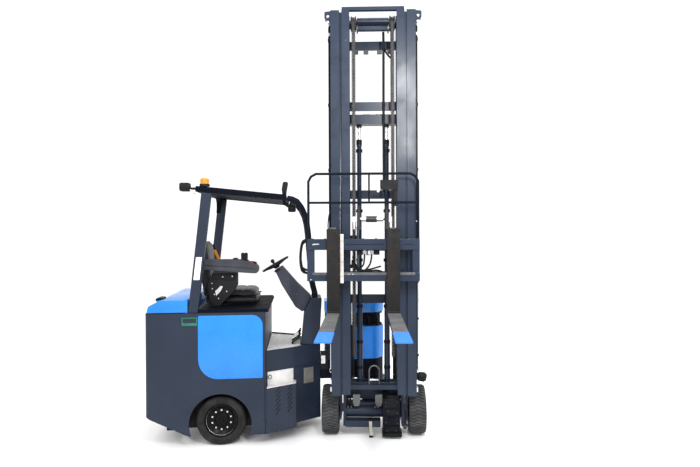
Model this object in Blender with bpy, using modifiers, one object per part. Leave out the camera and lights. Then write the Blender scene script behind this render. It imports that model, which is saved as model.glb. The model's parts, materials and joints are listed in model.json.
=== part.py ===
# Articulated narrow-aisle forklift truck with a three-stage mast.
# Metres, +Z up, +X ahead of the chassis, +Y to its left. The front frame is drawn
# pointing straight ahead in its own frame, and stands turned about the pivot.

from math import atan2, cos, pi, radians, sin, tan

import bmesh
import bpy
from mathutils import Matrix, Vector

# Fits
GAP = 0.0003              # between pieces that touch
RUNNING = 0.006           # between stages of the mast
PIN_PLAY = 0.0005         # radial, at pins and axles

# Pose in which the truck is parked
TURN = radians(-96.8)     # front frame about the pivot, to the right
SIDE_SHIFT = -0.090       # forks off the mast's centre line, to its right

# Chassis
HALF_WIDTH = 0.502
TAIL_X = -2.035
WAIST_X = -1.012          # front face of the battery body
BODY_TOP = 1.163
SKIRT_Z = 0.100
TAIL_SLOPE_Z = 0.279
TAIL_SLOPE_X = -1.664
TAIL_RADIUS = 0.050
WALL = 0.016
SHELF = 0.034             # thick bridge under the guard's rear posts
BEARER_Z = (0.466, 0.500)  # foot and top of the battery's bearers
BATTERY_PLAY = 0.046      # between the battery and each side wall

# Rear wheels
REAR_AXLE_X = -1.400
REAR_TYRE_RADIUS = 0.214
REAR_TYRE_OUTER = 0.462
REAR_TYRE_WIDTH = 0.150
ARCH_RADIUS = 0.268
ARCH_Z = 0.194

# Front frame and its wheels
FRONT_AXLE_X = 0.277
HALF_TRACK = 0.395
FRONT_TYRE_RADIUS = 0.217
FRONT_TYRE_WIDTH = 0.156
AXLE_RADIUS = 0.032
AXLE_BEAM_HALF = 0.045
DRIVE_BOX_RIGHT = 0.080
TREAD_DEPTH = 0.010
TREAD_BARS = 24
WHEEL_SIDES = 28          # the same for tyre and rim, so that their facets line up

# Foot well
FLOOR_Z = 0.802
TREAD_Z = 0.503
STEP_TOP_Z = 0.612
WELL_HALF = 0.393
WELL_KNEE_X = -0.770
WELL_KNEE_HALF = 0.268
WELL_NOSE_X = -0.520
WELL_NOSE_HALF = 0.118
STEP_FRONT_X = -0.745
STEP_FRONT_HALF = 0.362
SHEET = 0.012
SEAM_DEPTH = 0.012        # upright groove where the battery body meets the step box
SEAM_LOW_Z = 0.205
SEAM_TOP_Z = 0.590
VENT_SLOTS = 6            # slanting slots in each of two columns
VENT_LOW_Z = 0.275
VENT_PITCH = 0.039
VENT_COLUMNS = (0.40, 0.78)  # along the step box's side, from its rear

# Nose over the pivot
NOSE_HALF = 0.120
ARM_LOW_Z = 0.462
ARM_TOP_Z = 0.640
PANEL_TOP_Z = 0.950
HOOD_LOW_Z = 1.085
HOOD_TOP_Z = 1.200
KINGPIN_RADIUS = 0.045

# Overhead guard
GUARD_HALF = 0.465
POST_DEPTH = 0.084
POST_WIDTH = 0.050
POST_FOOT_X = -1.630
POST_HEAD_X = -1.518
ROOF_REAR_X = -1.600
ROOF_REAR_Z = 2.262
ROOF_FRONT_X = -0.820
ROOF_FRONT_Z = 2.187
BEAM = 0.050
ROOF_BARS = 7
LEG_RADIUS = 0.028
LEG_FOOT_X = -0.570
LEG_FOOT_HALF = 0.095

# Cowl and controls
COWL_TOP_Z = 1.235
COWL_HALF = 0.175
COWL_TAPER = 0.17         # of its half width, lost from floor to top
COWL_SLOPE = ((-0.672, 1.105), (-0.604, COWL_TOP_Z))  # bevelled rear edge under the column
DECK_TOP_Z = 1.193
HOOD_FRONT_X = -0.985     # raised front of the seat deck
HOOD_TOP = 1.240
CUSHION_LOW_Z = 1.262
SEAT_TOP_Z = 1.345
STEERING_CENTRE = (-0.946, 0.0, 1.550)
STEERING_RADIUS = 0.132
STEERING_TILT = radians(30.0)
STEERING_HUB = 0.044      # from the rim's plane down to the column

# Mast
MAST_FRONT = 0.600
MAST_DEPTH = 0.170
MAST_LOW_Z = 0.431
OUTER_TOP_Z = 3.784
INNER_TOP_Z = 3.788
OUTER_HALF = 0.370
OUTER_FLANGE = 0.077
STAGE_OFFSET = 0.020      # showing between the outer and the inner stage's flanges
INNER_FLANGE = 0.068
FLANGE = 0.018
WEB = 0.012
TILT_X = 0.360
TILT_Z = 0.510
TILT_PIN_RADIUS = 0.022
HOSE_CLIPS = 6
CHEEK_FRONT = 0.396       # front edge of the cheeks that carry the tilt pins

# Lift cylinders
LIFT_HALF = 0.125
LIFT_X = 0.345
LIFT_RADIUS = 0.0210
LIFT_BORE = 0.0175
LIFT_ROD = 0.0145
LIFT_FOOT_Z = 0.475
BARREL_TOP_Z = 2.700
PUSH_LOW_Z = 2.830
PUSH_TOP_Z = 2.916

# Tilt cylinders
TILT_CYLINDER_HALF = 0.205
TILT_FOOT = (0.240, 0.500)
TILT_HEAD = (0.250, 1.240)
TILT_BARREL_RADIUS = 0.024
TILT_BORE = 0.0165
TILT_ROD = 0.0135

# Carriage and forks
CHAIN_HALF = 0.170
SHEAVE_Z = 3.700
SHEAVE_X = 0.502
SHEAVE_RADIUS = 0.058
CHAIN_FOOT_Z = 0.760
CHAIN_ANCHOR = (2.943, 3.022)
CARRIAGE_HALF = 0.475
BAR_FRONT = 0.742
BAR_DEPTH = 0.040
UPPER_BAR = (1.707, 1.800)
LOWER_BAR = (1.443, 1.513)
REST_TOP_Z = 2.362
REST_TUBE = 0.011
FORK_TOP_Z = 1.185
FORK_HALF_SPACING = 0.252
FORK_WIDTH = 0.109
FORK_THICK = 0.042
FORK_LENGTH = 1.149
FORK_HEEL_Z = 1.885

# Colour (r, g, b), roughness and metallic value of each finish
FINISHES = {
    "dark_paint": ((0.052, 0.058, 0.080), 0.42, 0.0),
    "blue_paint": ((0.020, 0.210, 0.820), 0.30, 0.0),
    "black_plastic": ((0.012, 0.012, 0.014), 0.55, 0.0),
    "black_vinyl": ((0.010, 0.010, 0.011), 0.45, 0.0),
    "tyre_rubber": ((0.035, 0.034, 0.032), 0.80, 0.0),
    "rim_black": ((0.010, 0.010, 0.012), 0.35, 0.3),
    "bright_plate": ((0.620, 0.620, 0.610), 0.38, 0.9),
    "cast_iron": ((0.045, 0.045, 0.048), 0.65, 0.5),
    "fork_steel": ((0.042, 0.034, 0.030), 0.60, 0.6),
    "chrome_rod": ((0.750, 0.750, 0.750), 0.15, 1.0),
    "chain_steel": ((0.120, 0.115, 0.105), 0.45, 0.9),
    "amber_lens": ((0.900, 0.330, 0.020), 0.20, 0.0),
}

UP = Vector((0, 0, 1))

for leftover in list(bpy.data.objects):
    bpy.data.objects.remove(leftover, do_unlink=True)

parts = bpy.data.collections.new("articulated_forklift")
cutters = bpy.data.collections.new("cutters")
bpy.context.scene.collection.children.link(parts)
bpy.context.scene.collection.children.link(cutters)

frame_points = {}


# Frames and axes

def frame_empty(name, point, parent=None, turn=0.0):
    """An empty on a joint's axis, its point given in the frame that it stands in."""
    empty = bpy.data.objects.new(name, None)
    empty.empty_display_size = 0.15
    empty.location = point
    empty.rotation_euler = (0.0, 0.0, turn)
    empty.parent = parent
    parts.objects.link(empty)
    frame_points[name] = Vector(point)
    return empty


def carry(axis, *pieces):
    """Hang pieces, drawn in the frame's coordinates, on the empty of their axis."""
    for piece in pieces:
        piece.parent = axis
        piece.location = Vector(piece.location) - frame_points[axis.name]


# Making solids

def finish(piece, name):
    colour, roughness, metallic = FINISHES[name]
    material = bpy.data.materials.new(piece.name + "_" + name)
    material.use_nodes = True
    shader = material.node_tree.nodes["Principled BSDF"]
    shader.inputs["Base Color"].default_value = (*colour, 1.0)
    shader.inputs["Roughness"].default_value = roughness
    shader.inputs["Metallic"].default_value = metallic
    piece.data.materials.clear()
    piece.data.materials.append(material)
    return piece


def new_piece(name, mesh, smooth=False):
    piece = bpy.data.objects.new(name, mesh)
    parts.objects.link(piece)
    if smooth:
        mesh.shade_smooth()
        mesh.set_sharp_from_angle(angle=radians(35.0))
    return piece


def as_mesh(curve_object):
    """Turn a curve with its bevel into a welded mesh."""
    bpy.context.view_layer.update()
    evaluated = curve_object.evaluated_get(bpy.context.evaluated_depsgraph_get())
    mesh = bpy.data.meshes.new_from_object(evaluated)
    shape = bmesh.new()
    shape.from_mesh(mesh)
    bmesh.ops.remove_doubles(shape, verts=shape.verts, dist=0.00005)
    bmesh.ops.recalc_face_normals(shape, faces=shape.faces)
    shape.to_mesh(mesh)
    shape.free()
    name = curve_object.name
    curve = curve_object.data
    bpy.data.objects.remove(curve_object)
    bpy.data.curves.remove(curve)
    mesh.name = name
    return mesh


def box(name, low, high, edge=0.0):
    """A block between two corners, its edges rounded by edge."""
    shape = bmesh.new()
    bmesh.ops.create_cube(shape, size=1.0)
    size = Vector(high) - Vector(low)
    centre = (Vector(high) + Vector(low)) / 2
    bmesh.ops.scale(shape, vec=size, verts=shape.verts)
    bmesh.ops.translate(shape, vec=centre, verts=shape.verts)
    mesh = bpy.data.meshes.new(name)
    shape.to_mesh(mesh)
    shape.free()
    piece = new_piece(name, mesh)
    if edge:
        round_edges(piece, edge)
    return piece


def tapered_box(name, low, high):
    """A block whose top differs from its foot: each is (x start, x end, half width, z, y centre)."""
    piece = box(name, (-0.5, -0.5, -0.5), (0.5, 0.5, 0.5))
    for vertex in piece.data.vertices:
        start, end, half, height, centre = high if vertex.co.z > 0 else low
        vertex.co = (end if vertex.co.x > 0 else start,
                     centre + (half if vertex.co.y > 0 else -half),
                     height)
    return piece


def round_edges(piece, width, segments=2, angle=40.0):
    bevel = piece.modifiers.new("rounded edges", "BEVEL")
    bevel.width = width
    bevel.segments = segments
    bevel.limit_method = "ANGLE"
    bevel.angle_limit = radians(angle)
    return piece


def rounded(corners, steps=4):
    """Corners (x, y, radius) to points, each corner with a radius drawn as an arc."""
    points = []
    count = len(corners)
    for index, (x, y, radius) in enumerate(corners):
        corner = Vector((x, y))
        if not radius:
            points.append(corner)
            continue
        before = (Vector(corners[index - 1][:2]) - corner).normalized()
        after = (Vector(corners[(index + 1) % count][:2]) - corner).normalized()
        half_angle = before.angle(after) / 2
        reach = radius / abs(sin(half_angle) / cos(half_angle))
        middle = corner + (before + after).normalized() * (radius / sin(half_angle))
        start = (corner + before * reach - middle).normalized()
        end = (corner + after * reach - middle).normalized()
        for step in range(steps + 1):
            points.append(middle + start.slerp(end, step / steps) * radius)
    return points


def plate(name, corners, across, start, end, steps=4):
    """A flat outline of corners (a, b, radius), as thick as start to end along an axis.

    Across X the outline is (y, z), across Y it is (x, z) and across Z it is (x, y)."""
    points = rounded(corners, steps)
    curve = bpy.data.curves.new(name, "CURVE")
    curve.dimensions = "2D"
    curve.fill_mode = "BOTH"
    curve.extrude = abs(end - start) / 2
    spline = curve.splines.new("POLY")
    spline.points.add(len(points) - 1)
    for place, point in zip(spline.points, points):
        place.co = (point.x, point.y, 0.0, 1.0)
    spline.use_cyclic_u = True
    outline = bpy.data.objects.new(name, curve)
    parts.objects.link(outline)
    mesh = as_mesh(outline)
    middle = (start + end) / 2
    if across == "X":
        turn = Matrix(((0, 0, 1, middle), (1, 0, 0, 0), (0, 1, 0, 0), (0, 0, 0, 1)))
    elif across == "Y":
        turn = Matrix(((1, 0, 0, 0), (0, 0, -1, middle), (0, 1, 0, 0), (0, 0, 0, 1)))
    else:
        turn = Matrix.Translation((0, 0, middle))
    mesh.transform(turn)
    return new_piece(name, mesh)


def bar(name, start, end, radius, sides=16):
    """A round bar from one point to another."""
    start = Vector(start)
    end = Vector(end)
    shape = bmesh.new()
    bmesh.ops.create_cone(shape, cap_ends=True, segments=sides, radius1=radius,
                          radius2=radius, depth=(end - start).length)
    turn = (end - start).to_track_quat("Z", "Y").to_matrix().to_4x4()
    place = Matrix.Translation((start + end) / 2) @ turn
    bmesh.ops.transform(shape, matrix=place, verts=shape.verts)
    mesh = bpy.data.meshes.new(name)
    shape.to_mesh(mesh)
    shape.free()
    return new_piece(name, mesh, smooth=True)


def turned(name, profile, centre, along, sides=32):
    """A turned solid: profile of (radius, distance) run from its top down its outer side."""
    mesh = bpy.data.meshes.new(name)
    points = [(radius, 0.0, distance) for radius, distance in profile]
    edges = [(index, index + 1) for index in range(len(points) - 1)]
    if profile[0][0] > 0:
        edges.append((len(points) - 1, 0))
    mesh.from_pydata(points, edges, [])
    draft = bpy.data.objects.new(name, mesh)
    parts.objects.link(draft)
    screw = draft.modifiers.new("turned", "SCREW")
    screw.steps = sides
    screw.render_steps = sides
    screw.use_merge_vertices = True
    screw.merge_threshold = 0.0001
    bpy.context.view_layer.update()
    evaluated = draft.evaluated_get(bpy.context.evaluated_depsgraph_get())
    solid = bpy.data.meshes.new_from_object(evaluated)
    bpy.data.objects.remove(draft)
    turn = UP.rotation_difference(Vector(along)).to_matrix().to_4x4()
    solid.transform(Matrix.Translation(centre) @ turn)
    solid.name = name
    return new_piece(name, solid, smooth=True)


def tube(name, points, radius, resolution=2, cyclic=False):
    """A round tube along points, with its ends closed."""
    curve = bpy.data.curves.new(name, "CURVE")
    curve.dimensions = "3D"
    curve.bevel_depth = radius
    curve.bevel_resolution = resolution
    curve.use_fill_caps = not cyclic
    spline = curve.splines.new("POLY")
    spline.points.add(len(points) - 1)
    for place, point in zip(spline.points, points):
        place.co = (*point, 1.0)
    spline.use_cyclic_u = cyclic
    run = bpy.data.objects.new(name, curve)
    parts.objects.link(run)
    return new_piece(name, as_mesh(run), smooth=True)


def smooth_path(points, steps=6):
    """Points on a smooth curve through the given points."""
    points = [Vector(point) for point in points]
    ends = [points[0] * 2 - points[1]] + points + [points[-1] * 2 - points[-2]]
    path = []
    for index in range(1, len(ends) - 2):
        before, start, end, after = ends[index - 1:index + 3]
        for step in range(steps):
            t = step / steps
            path.append(0.5 * (2 * start + (end - before) * t
                               + (2 * before - 5 * start + 4 * end - after) * t ** 2
                               + (3 * start - before - 3 * end + after) * t ** 3))
    path.append(points[-1])
    return path


def set_aside(piece):
    """Make a piece a cutter or a joined part: kept in the scene but not a sub-part."""
    parts.objects.unlink(piece)
    cutters.objects.link(piece)
    piece.hide_render = True
    piece.display_type = "WIRE"


def combine(piece, others, operation):
    for other in others:
        boolean = piece.modifiers.new(operation.lower(), "BOOLEAN")
        boolean.operation = operation
        boolean.solver = "EXACT"
        boolean.object = other
        other.parent = piece
        set_aside(other)
    return piece


def join(piece, *others):
    return combine(piece, others, "UNION")


def cut(piece, *others):
    return combine(piece, others, "DIFFERENCE")


def both_sides(maker, *settings):
    """Make a piece on the right (-1) and on the left (+1)."""
    return [maker(side, *settings) for side in (-1, 1)]


def side_name(side):
    return "left" if side > 0 else "right"


# Frames of the truck

placing = frame_empty("truck", (0.0, 0.0, 0.0))
chassis = frame_empty("chassis_frame", (0.0, 0.0, 0.0), placing)
front = frame_empty("front_frame_pivot", (0.0, 0.0, 0.0), placing, TURN)


# Chassis body

def panel_outline(clearance):
    """The side panel's outline, or its opening in the wall when clearance is zero."""
    rear, ahead = -1.585 + clearance, -1.034 - clearance
    low, high = 0.592 + clearance, 1.142 - clearance
    return [(rear, low, 0.170 - clearance), (ahead, low, 0.012),
            (ahead, high, 0.090 - clearance), (rear, high, 0.012)]


def make_seam(side, start, end):
    """Cutter for half of the upright groove at the waist."""
    near, far = sorted((side * (HALF_WIDTH - SEAM_DEPTH), side * (HALF_WIDTH + 0.010)))
    return box("seam_cut", (start, near, SEAM_LOW_Z), (end, far, SEAM_TOP_Z))


def make_rear_body():
    body = plate("rear_body",
                 [(TAIL_X, -HALF_WIDTH, TAIL_RADIUS), (WAIST_X, -HALF_WIDTH, 0.010),
                  (WAIST_X, HALF_WIDTH, 0.010), (TAIL_X, HALF_WIDTH, TAIL_RADIUS)],
                 "Z", SKIRT_Z, BODY_TOP)
    inner_half = HALF_WIDTH - WALL
    bay = plate("bay_cut",
                [(TAIL_X + WALL, -inner_half, TAIL_RADIUS - WALL),
                 (WAIST_X - WALL, -inner_half, 0.0),
                 (WAIST_X - WALL, inner_half, 0.0),
                 (TAIL_X + WALL, inner_half, TAIL_RADIUS - WALL)],
                "Z", 0.0, BODY_TOP - SHELF)
    shelf_half = POST_DEPTH / 2 + 0.012
    rear_opening = box("rear_opening_cut",
                       (TAIL_X + WALL + 0.020, -inner_half + 0.020, BODY_TOP - SHELF - 0.010),
                       (POST_FOOT_X - shelf_half, inner_half - 0.020, BODY_TOP + 0.100))
    bay_opening = box("bay_opening_cut",
                      (POST_FOOT_X + shelf_half, -inner_half + 0.020, BODY_TOP - SHELF - 0.010),
                      (WAIST_X - WALL - 0.020, inner_half - 0.020, BODY_TOP + 0.100))
    slope = plate("tail_slope_cut",
                  [(TAIL_X - 0.2, -0.2, 0.0), (TAIL_SLOPE_X, -0.2, 0.0),
                   (TAIL_SLOPE_X, SKIRT_Z, 0.0), (TAIL_X, TAIL_SLOPE_Z, 0.0),
                   (TAIL_X - 0.2, TAIL_SLOPE_Z, 0.0)],
                  "Y", -HALF_WIDTH - 0.1, HALF_WIDTH + 0.1)
    arch = bar("arch_cut", (REAR_AXLE_X, -HALF_WIDTH - 0.1, ARCH_Z),
               (REAR_AXLE_X, HALF_WIDTH + 0.1, ARCH_Z), ARCH_RADIUS, 48)
    windows = plate("panel_window_cut", panel_outline(0.0), "Y",
                    -HALF_WIDTH - 0.1, HALF_WIDTH + 0.1, 6)
    grooves = both_sides(make_seam, WAIST_X - SEAM_DEPTH, WAIST_X + 0.010)
    cut(body, bay, rear_opening, bay_opening, slope, arch, windows, *grooves)
    join(body, *[box("battery_bearer", (start, -inner_half - 0.004, BEARER_Z[0]),
                     (start + 0.060, inner_half + 0.004, BEARER_Z[1]))
                 for start in (-1.665, -1.110)])
    return finish(body, "dark_paint")


def make_side_panel(side):
    inner = side * (HALF_WIDTH - WALL)
    outer = side * (HALF_WIDTH + 0.003)
    panel = plate("side_panel_" + side_name(side), panel_outline(GAP), "Y", inner, outer, 6)
    round_edges(panel, 0.004, 2, 60.0)
    return finish(panel, "blue_paint")


def make_seat_deck():
    """Cover of the battery bay, raised at its front where it turns down over the wall."""
    start = POST_FOOT_X + POST_DEPTH / 2 + 0.004
    deck = plate("seat_deck",
                 [(start, BODY_TOP + GAP, 0.0), (HOOD_FRONT_X, BODY_TOP + GAP, 0.0),
                  (HOOD_FRONT_X, HOOD_TOP, 0.042), (HOOD_FRONT_X - 0.118, HOOD_TOP, 0.030),
                  (HOOD_FRONT_X - 0.165, DECK_TOP_Z, 0.030), (start, DECK_TOP_Z, 0.0)],
                 "Y", -HALF_WIDTH + 0.004, HALF_WIDTH - 0.004, 3)
    round_edges(deck, 0.010, 2, 60.0)
    return finish(deck, "dark_paint")


def make_counterweight():
    block = plate("counterweight",
                  [(TAIL_X + WALL + GAP, 0.300, 0.0), (-1.700, 0.150, 0.0),
                   (-1.700, 1.100, 0.0), (TAIL_X + WALL + GAP, 1.100, 0.0)],
                  "Y", -HALF_WIDTH + TAIL_RADIUS + 0.002, HALF_WIDTH - TAIL_RADIUS - 0.002)
    return finish(block, "cast_iron")


def make_battery():
    half = HALF_WIDTH - WALL - BATTERY_PLAY
    block = box("battery", (-1.655, -half, BEARER_Z[1] + GAP), (-1.062, half, 1.110))
    return finish(block, "black_plastic")


def make_rear_axle():
    axle_end = REAR_TYRE_OUTER - REAR_TYRE_WIDTH * 0.55
    axle = bar("rear_axle", (REAR_AXLE_X, -axle_end, REAR_TYRE_RADIUS),
               (REAR_AXLE_X, axle_end, REAR_TYRE_RADIUS), AXLE_RADIUS)
    housing = box("axle_housing", (REAR_AXLE_X - 0.090, -0.235, REAR_TYRE_RADIUS - 0.080),
                  (REAR_AXLE_X + 0.090, 0.235, REAR_TYRE_RADIUS + 0.090), 0.015)
    hanger = box("axle_hanger", (REAR_AXLE_X - 0.070, -0.180, REAR_TYRE_RADIUS + 0.060),
                 (REAR_AXLE_X + 0.070, 0.180, BEARER_Z[0] - 0.010))
    saddle = box("axle_saddle", (-1.640, -0.170, BEARER_Z[0] - 0.026),
                 (-1.080, 0.170, BEARER_Z[0] - GAP))
    join(axle, housing, hanger, saddle)
    return finish(axle, "dark_paint")


# Foot well, steps and nose

WELL_OUTLINE = [(WAIST_X + GAP, WELL_HALF, 0.0), (WELL_KNEE_X, WELL_KNEE_HALF, 0.0),
                (WELL_NOSE_X, WELL_NOSE_HALF, 0.010)]


def mirrored(half):
    """Close an outline given for +Y with its mirror image."""
    return [(x, -y, radius) for x, y, radius in half] + list(reversed(half))


def well_half_at(x):
    """Half width of the foot well between the waist and the knee."""
    share = (x - WAIST_X) / (WELL_KNEE_X - WAIST_X)
    return WELL_HALF + share * (WELL_KNEE_HALF - WELL_HALF)


def make_vent_slot(side, column, index):
    """Cutter for one slanting slot in a step box's side; column is its share of the side's length."""
    along = Vector((STEP_FRONT_X - WAIST_X, side * (STEP_FRONT_HALF - HALF_WIDTH), 0.0))
    place = Vector((WAIST_X, side * HALF_WIDTH, VENT_LOW_Z + VENT_PITCH * index)) + along * column
    slot = box("vent_cut", (-0.034, -0.012, -0.005), (0.034, 0.012, 0.005))
    turn = Matrix.Rotation(atan2(along.y, along.x), 4, "Z") @ Matrix.Rotation(radians(-48.0), 4, "Y")
    slot.data.transform(Matrix.Translation(place) @ turn)
    return slot


def make_foot_well():
    """The tub under the floor, with a step box fused to each side, open below."""
    tub = plate("foot_well", mirrored(WELL_OUTLINE), "Z", SKIRT_Z, FLOOR_Z)
    inside = [(WAIST_X + SHEET, WELL_HALF - SHEET * 1.3, 0.0),
              (WELL_KNEE_X - 0.004, WELL_KNEE_HALF - SHEET * 1.1, 0.0),
              (WELL_NOSE_X - SHEET, WELL_NOSE_HALF - 0.004, 0.0)]
    hollow = plate("foot_well_cut", mirrored(inside), "Z", 0.0, FLOOR_Z - SHEET)
    boxes = []
    for side in (-1, 1):
        near_start = well_half_at(WAIST_X) - SHEET * 0.8
        near_end = WELL_KNEE_HALF - SHEET
        boxes.append(plate("step_box",
                           [(WAIST_X + GAP, side * near_start, 0.0),
                            (WAIST_X + GAP, side * HALF_WIDTH, 0.0),
                            (STEP_FRONT_X, side * STEP_FRONT_HALF, 0.010),
                            (STEP_FRONT_X, side * near_end, 0.0)],
                           "Z", SKIRT_Z, TREAD_Z - 0.008))
    grooves = both_sides(make_seam, WAIST_X - 0.010, WAIST_X + SEAM_DEPTH)
    slots = [make_vent_slot(side, column, index) for side in (-1, 1) for column in VENT_COLUMNS
             for index in range(VENT_SLOTS)]
    cut(tub, hollow)
    join(tub, *boxes)
    cut(tub, *grooves, *slots)
    return finish(tub, "dark_paint")


def make_step_plate(side):
    """The bright tread and riser, bent from one sheet."""
    thick = 0.006
    start, end = WAIST_X + 0.010, WELL_KNEE_X - 0.004
    near_start, near_end = well_half_at(start) + 0.001, well_half_at(end) + 0.001
    tread = plate("step_plate_" + side_name(side),
                  [(start, side * near_start, 0.0), (start, side * (HALF_WIDTH - 0.002), 0.0),
                   (STEP_FRONT_X - 0.004, side * (STEP_FRONT_HALF + 0.001), 0.0),
                   (STEP_FRONT_X - 0.004, side * near_end, 0.0), (end, side * near_end, 0.0)],
                  "Z", TREAD_Z - 0.008 + GAP, TREAD_Z)
    riser = plate("riser",
                  [(start, side * near_start, 0.0), (start, side * (near_start + thick), 0.0),
                   (end, side * (near_end + thick), 0.0), (end, side * near_end, 0.0)],
                  "Z", TREAD_Z - 0.004, STEP_TOP_Z)
    join(tread, riser)
    return finish(tread, "bright_plate")


def make_cowl():
    """Upright cover at the well's nose, its upper rear edge bevelled for the column."""
    low_z = FLOOR_Z + GAP
    foot, head = COWL_SLOPE
    cowl = plate("cowl", [(-0.700, low_z, 0.0), (-0.532, low_z, 0.0), (-0.505, COWL_TOP_Z, 0.015),
                          (*head, 0.0), (*foot, 0.0)], "Y", -COWL_HALF, COWL_HALF)
    for vertex in cowl.data.vertices:
        vertex.co.y *= 1 - COWL_TAPER * (vertex.co.z - low_z) / (COWL_TOP_Z - low_z)
    return finish(cowl, "dark_paint")


def make_steering_column():
    centre_x, _, centre_z = STEERING_CENTRE
    along = Vector((cos(STEERING_TILT), sin(STEERING_TILT)))
    down = Vector((sin(STEERING_TILT), -cos(STEERING_TILT))) * (STEERING_HUB + 0.0005)
    head = [Vector((centre_x, centre_z)) + down + along * reach for reach in (-0.032, 0.052)]
    slope_foot, slope_head = (Vector(point) for point in COWL_SLOPE)
    rise = (slope_head - slope_foot).normalized()
    clear = Vector((-rise.y, rise.x)) * GAP * 1.5
    seat_foot, seat_head = slope_foot + clear, slope_head + clear
    column = plate("steering_column",
                   [(*head[0], 0.0), (*head[1], 0.010), (-0.735, 1.372, 0.030),
                    (-0.616, COWL_TOP_Z + 0.022, 0.010), (*(seat_head - rise * 0.004), 0.0),
                    (*seat_foot, 0.0), (-0.690, 1.092, 0.006), (-0.757, 1.140, 0.030),
                    (-0.885, 1.352, 0.060)],
                   "Y", -0.048, 0.048)
    return finish(column, "dark_paint")


def nose_outline(half, rear_x):
    """Plan of the nose: straight sides from rear_x, round over the pivot."""
    return [(rear_x, -half, 0.010), (half * 0.2, -half, half * 0.72),
            (half * 0.92, 0.0, half * 0.3), (half * 0.2, half, half * 0.72),
            (rear_x, half, 0.010)]


def make_nose_arm():
    arm = plate("nose_arm", nose_outline(NOSE_HALF - 0.006, WELL_NOSE_X + GAP),
                "Z", ARM_LOW_Z, ARM_TOP_Z)
    tower = box("tower", (-0.470, -0.070, ARM_TOP_Z - 0.010), (-0.200, 0.070, HOOD_LOW_Z - GAP))
    socket = bar("kingpin_cut", (0.0, 0.0, ARM_LOW_Z - 0.1), (0.0, 0.0, ARM_TOP_Z - 0.030),
                 KINGPIN_RADIUS + PIN_PLAY, 24)
    neck = box("neck", (-0.220, -0.050, PANEL_TOP_Z + 0.008), (0.020, 0.050, HOOD_LOW_Z - GAP))
    bearing = bar("upper_bearing", (0.0, 0.0, PANEL_TOP_Z + 0.008), (0.0, 0.0, HOOD_LOW_Z - GAP), 0.072)
    join(arm, tower, neck, bearing)
    cut(arm, socket)
    return finish(arm, "dark_paint")


def make_nose_panel():
    """Lower cover, open where the arm's tower comes up through it."""
    panel = plate("nose_panel", nose_outline(NOSE_HALF, WELL_NOSE_X + 0.044), "Z",
                  ARM_TOP_Z + GAP, PANEL_TOP_Z)
    tower_hole = box("tower_cut", (-0.470 - GAP, -0.070 - GAP, ARM_TOP_Z - 0.1),
                     (-0.200 + GAP, 0.070 + GAP, PANEL_TOP_Z + 0.1))
    cut(panel, tower_hole)
    return finish(panel, "blue_paint")


def make_nose_hood():
    hood = plate("nose_hood", nose_outline(NOSE_HALF, WELL_NOSE_X + 0.044), "Z", HOOD_LOW_Z, HOOD_TOP_Z)
    round_edges(hood, 0.030, 2, 40.0)
    return finish(hood, "blue_paint")


# Bonnet, hinged at its top front edge

BONNET_FRONT_X = POST_FOOT_X - POST_DEPTH / 2 - 0.004
BONNET_TOP_Z = 1.275


def make_bonnet():
    front_x = BONNET_FRONT_X
    rear_x = TAIL_X + 0.016
    low = BODY_TOP + GAP
    corners = [(rear_x, low, 0.0), (front_x, low, 0.0), (front_x, BONNET_TOP_Z, 0.020),
               (rear_x + 0.110, BONNET_TOP_Z, 0.060), (rear_x + 0.012, BONNET_TOP_Z - 0.050, 0.040)]
    lid = plate("bonnet", corners, "Y", -HALF_WIDTH + 0.010, HALF_WIDTH - 0.010, 3)
    round_edges(lid, 0.022, 2, 50.0)
    skin = 0.012
    inner = [(rear_x + skin * 1.5, low - 0.1, 0.0), (front_x - skin, low - 0.1, 0.0),
             (front_x - skin, BONNET_TOP_Z - skin, 0.010),
             (rear_x + 0.114, BONNET_TOP_Z - skin, 0.050),
             (rear_x + skin * 2.2, BONNET_TOP_Z - 0.054, 0.030)]
    hollow = plate("bonnet_cut", inner, "Y", -HALF_WIDTH + 0.010 + skin,
                   HALF_WIDTH - 0.010 - skin)
    handle = box("bonnet_handle", (-1.955, -0.410, BONNET_TOP_Z - 0.020), (-1.905, -0.300, BONNET_TOP_Z + 0.012))
    cut(lid, hollow)
    join(lid, handle)
    return finish(lid, "blue_paint")


# Overhead guard

ROOF_TIP = atan2(ROOF_REAR_Z - ROOF_FRONT_Z, ROOF_FRONT_X - ROOF_REAR_X)


def roof_top(x):
    """Height of the roof's upper side, which falls to the front."""
    return ROOF_REAR_Z - (x - ROOF_REAR_X) * tan(ROOF_TIP)


def make_rear_post(side):
    half = POST_DEPTH / 2
    rise = (POST_HEAD_X - POST_FOOT_X) / (2.160 - BODY_TOP)
    head = POST_FOOT_X + rise * (ROOF_REAR_Z - BEAM - BODY_TOP)
    seat = BEAM / cos(ROOF_TIP) + GAP
    corners = [(POST_FOOT_X - half, BODY_TOP + GAP, 0.0), (POST_FOOT_X + half, BODY_TOP + GAP, 0.0),
               (head + half, roof_top(head + half) - seat, 0.0),
               (head - half, roof_top(head - half) - seat, 0.0)]
    post = plate("guard_post_" + side_name(side), corners, "Y",
                 side * (GUARD_HALF - POST_WIDTH / 2), side * (GUARD_HALF + POST_WIDTH / 2))
    return finish(post, "dark_paint")


def make_gusset(side):
    """Hollow-curved gusset that ties the rear header down to a post's inner face."""
    outer = GUARD_HALF - POST_WIDTH / 2 - GAP
    width, drop = 0.190, 0.150
    arc = [(outer - width + width * cos(turn), -0.200 + drop * sin(turn))
           for turn in (pi / 2 * step / 4 for step in range(5))]
    outline = [(side * y, z, 0.0) for y, z in [(outer, -BEAM + 0.006), *arc, (outer - width, -BEAM + 0.006)]]
    return plate("roof_gusset", outline, "X", 0.045, 0.085)


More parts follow.
